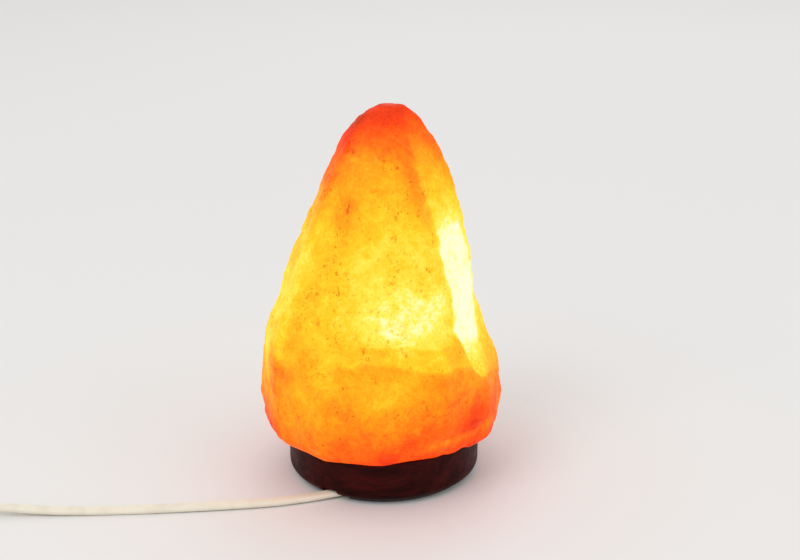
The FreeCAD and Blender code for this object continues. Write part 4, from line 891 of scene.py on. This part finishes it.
# Bulb: a small clear pear-shaped lamp of blown glass in a nickel-plated cap with a rolled thread.
# A coiled wire glows on two leads over a glass stem.
glass_finish, tree, shader = new_finish("bulb_glass", Transmission_Weight=1.0, IOR=1.46,
                                        Roughness=0.02)
ripple = clouded(tree, place_on_piece(tree), 90.0)
feed(tree, shader, "Base Color", mixed(tree, ripple, (1.0, 0.99, 0.96, 1), (0.96, 0.97, 0.96, 1)))
raise_surface(tree, shader, ripple, 0.0001, 0.5)
refinish(glass_finish, "bulb_glass", "bulb_glass")
stem_finish, tree, shader = new_finish("stem_glass", Transmission_Weight=1.0, IOR=1.5,
                                       Roughness=0.05)
ripple = clouded(tree, place_on_piece(tree), 300.0)
feed(tree, shader, "Base Color", mixed(tree, ripple, (0.94, 0.96, 0.95, 1), (0.88, 0.92, 0.90, 1)))
refinish(stem_finish, "stem_glass", "bulb_stem")
refinish(moulded_finish("cap_glass", (26, 26, 30), (44, 42, 44), 0.12, 0.00003, wear=0.1),
         "cap_glass", "bulb_insulator")
refinish(metal_finish("solder", (182, 182, 184), (120, 120, 122), 0.4), "solder",
         "bulb_tip_contact")
refinish(metal_finish("lead_wire", (160, 154, 146), (96, 90, 84), 0.3), "lead_wire", "bulb_leads")
threaded_cap = rolled_thread("threaded_cap", [
    (0.0014, 0.0328), (0.0042, 0.0328), (0.00695, 0.0354), (0.00695, 0.0491), (0.00725, 0.0503),
    (0.00685, 0.0503), (0.0066, 0.0489), (0.0066, 0.0356), (0.0040, 0.03315), (0.0014, 0.03315),
], -0.00055, 0.0358, 0.0466, "bulb")
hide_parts("bulb_screw_cap")

wire_finish, tree, shader = new_finish("tungsten", Metallic=1.0, Emission_Strength=6.0)
coils = add_node(tree, "ShaderNodeTexWave", {
    "Vector": place_on_piece(tree), "Scale": 900.0, "Distortion": 0.5}).outputs["Fac"]
feed(tree, shader, "Base Color", mixed(tree, coils, linear(210, 160, 90), linear(250, 210, 150)))
feed(tree, shader, "Emission Color",
     mixed(tree, coils, linear(255, 170, 60), linear(255, 232, 170)))
feed(tree, shader, "Roughness", sum_of(tree, 0.3, sum_of(tree, coils, 0.2, "MULTIPLY")))
wire_turns = 34
wire_steps = 12
wire_radius, wire_coil_radius = 0.00010, 0.00038
wire_reach, wire_level, wire_arch = 0.0060, 0.0733, 0.0020
wire_line = bpy.data.curves.new("coiled_wire", "CURVE")
wire_line.dimensions = "3D"
wire_line.bevel_depth = wire_radius
wire_line.bevel_resolution = 2
wire_spline = wire_line.splines.new("POLY")
wire_spline.points.add(wire_turns * wire_steps)
for i in range(wire_turns * wire_steps + 1):
    share = i / (wire_turns * wire_steps) * 2 - 1
    turn = 2 * math.pi * i / wire_steps
    rise = wire_level + wire_arch * (1 - share * share) + wire_coil_radius * math.sin(turn)
    wire_spline.points[i].co = (wire_reach * share, wire_coil_radius * math.cos(turn), rise, 1.0)
wire_line.materials.append(wire_finish)
coiled_wire = bpy.data.objects.new("coiled_wire", wire_line)
bpy.context.scene.collection.objects.link(coiled_wire)
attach(coiled_wire, "bulb")
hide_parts("bulb_filament")


# Switch: an ivory case in two halves on the cord with a seam between them and grip ribs on its
# sides, a glossy rocker on a steel pin, and soft ringed sleeves where the cord goes in and out.
switch_plastic = moulded_finish("switch_plastic", (234, 230, 218), (212, 206, 188), 0.34, 0.00006,
                                grain_scale=1600.0)
refinish(switch_plastic, "switch_plastic", "rocker_plunger")


def settle(piece, places, finish, source):
    """Gives a copy its moved points and its finish, and puts it in its CAD piece's stead."""
    piece.data.vertices.foreach_set("co", places.ravel())
    piece.data.update()
    piece.data.shade_smooth()
    piece.data.materials.clear()
    piece.data.materials.append(finish)
    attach(piece, "holder")
    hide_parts(source)
    return piece


switch_middle = (-0.262, -0.0586)
plastic_voxel = 0.0005
case_side, case_end = 0.0126, 0.0281
seam_level, seam_width, seam_depth = 0.008, 0.0004, 0.00030
grip_pitch, grip_height = 0.0026, 0.00025
for source, name in (("switch_case_bottom", "seamed_case_bottom"),
                     ("switch_case_top", "seamed_case_top")):
    piece = even_copy(source, name, plastic_voxel)
    places, facing = surface_of(piece.data)
    upright = 1 - soft_step(abs(facing[:, 2]), 0.2, 0.5)
    lengthwise = places[:, 0] - switch_middle[0]
    outside = abs(places[:, 1] - switch_middle[1]) > case_side
    seam = bump_at(places[:, 2], seam_level, seam_width) * upright
    seam *= outside | (abs(lengthwise) > case_end)
    grips = soft_step(np.cos(2 * math.pi * lengthwise / grip_pitch), 0.0, 0.7) * upright * outside
    grips *= 1 - soft_step(abs(lengthwise), 0.0098, 0.0104)
    grips *= between(places[:, 2], 0.0105, 0.0110, 0.0160, 0.0165)
    places += facing * (grip_height * grips - seam_depth * seam)[:, None]
    places[:, 2] = np.maximum(places[:, 2], 0.0)
    settle(piece, places, switch_plastic, source)
refinish(moulded_finish("rocker_plastic", (240, 238, 230), (222, 218, 206), 0.2, 0.00002),
         "rocker_plastic", "switch_rocker")
sleeve_vinyl = moulded_finish("sleeve_vinyl", (228, 222, 206), (204, 196, 174), 0.45, 0.00008)
refinish(cord_vinyl, "cord_pvc", "switch_cord_ends")
sleeve_voxel = 0.0004
ring_pitch = 0.0026
ring_groove = 0.00045
bore_half_width, bore_half_height = 0.0030, 0.0019


def ringed_sleeve(source, name, wide_end, heading):
    """A cord sleeve with grooves moulded around it, so that it bends evenly."""
    piece = even_copy(source, name, sleeve_voxel)
    places, facing = surface_of(piece.data)
    along_it = (places - np.array(wide_end)) @ np.array(heading)
    sideways = places[:, :2] - np.array(wide_end[:2]) - along_it[:, None] * np.array(heading[:2])
    in_bore = (np.hypot(sideways[:, 0], sideways[:, 1]) < bore_half_width) & (
        abs(places[:, 2] - wide_end[2]) < bore_half_height)
    grooves = soft_step(np.cos(2 * math.pi * along_it / ring_pitch), 0.1, 0.7)
    grooves *= between(along_it, 0.0030, 0.0036, 0.0160, 0.0166)
    grooves *= abs(facing @ np.array(heading)) < 0.7
    places -= facing * (np.where(in_bore, 0.0, grooves) * ring_groove)[:, None]
    return settle(piece, places, sleeve_vinyl, source)


switch_sleeves = [
    ringed_sleeve("switch_sleeve_lamp_side", "ringed_sleeve_lamp_side",
                  (-0.233, -0.0586, 0.0050), (1.0, 0.0, 0.0)),
    ringed_sleeve("switch_sleeve_plug_side", "ringed_sleeve_plug_side",
                  (-0.291, -0.0586, 0.0050), (-1.0, 0.0, 0.0)),
]


# Plug: a flat ivory moulding with finger ribs and a mould line round its side, and two nickel
# pins, sleeved in black next to the body.
plug_vinyl = moulded_finish("plug_vinyl", (230, 224, 208), (206, 198, 178), 0.4, 0.00008)
plug_start = plug_bend + plug_heading * plug_lead
relief_length = 0.018
rib_pitch, rib_height = 0.0028, 0.00035
mould_level, mould_height = 0.00685, 0.00012
plug_back = tuple(plug_start + plug_heading * relief_length)
sleeve_on_plug = ringed_sleeve("plug_sleeve", "ringed_sleeve_plug", plug_back,
                               tuple(-plug_heading))
ribbed_plug = even_copy("plug_body", "ribbed_plug", plastic_voxel)
places, facing = surface_of(ribbed_plug.data)
forward = (places - np.array(plug_back)) @ np.array(plug_heading)
sideways = np.array((-plug_heading.y, plug_heading.x, 0.0))
aside = (places - np.array(plug_back)) @ sideways
flat_face = soft_step(abs(facing[:, 2]), 0.90, 0.98)
ribs = soft_step(np.cos(2 * math.pi * forward / rib_pitch), -0.1, 0.6) * flat_face
ribs *= between(forward, 0.0045, 0.0050, 0.0200, 0.0205)
ribs *= 1 - soft_step(abs(aside), 0.0060, 0.0068)
mould_line = bump_at(places[:, 2], mould_level, 0.0003)
mould_line *= 1 - soft_step(abs(facing[:, 2]), 0.3, 0.6)
mould_line *= 1 - soft_step(forward, 0.0325, 0.0335)
places += facing * (rib_height * ribs + mould_height * mould_line)[:, None]
places[:, 2] = np.maximum(places[:, 2], 0.0)
settle(ribbed_plug, places, plug_vinyl, "plug_body")
refinish(metal_finish("pin_nickel", (214, 212, 206), (170, 164, 154), 0.16), "pin_nickel",
         "plug_pins")
refinish(moulded_finish("pin_sleeves", (24, 24, 25), (36, 35, 35), 0.5, 0.00004, wear=0.1,
                        Specular_IOR_Level=0.25), "pin_sleeves", "plug_pin_sleeves")
refinish(moulded_finish("tie_strip", (30, 30, 32), (46, 45, 44), 0.6, 0.0001, wear=0.1,
                        Specular_IOR_Level=0.25), "tie_strip", "coil_tie")
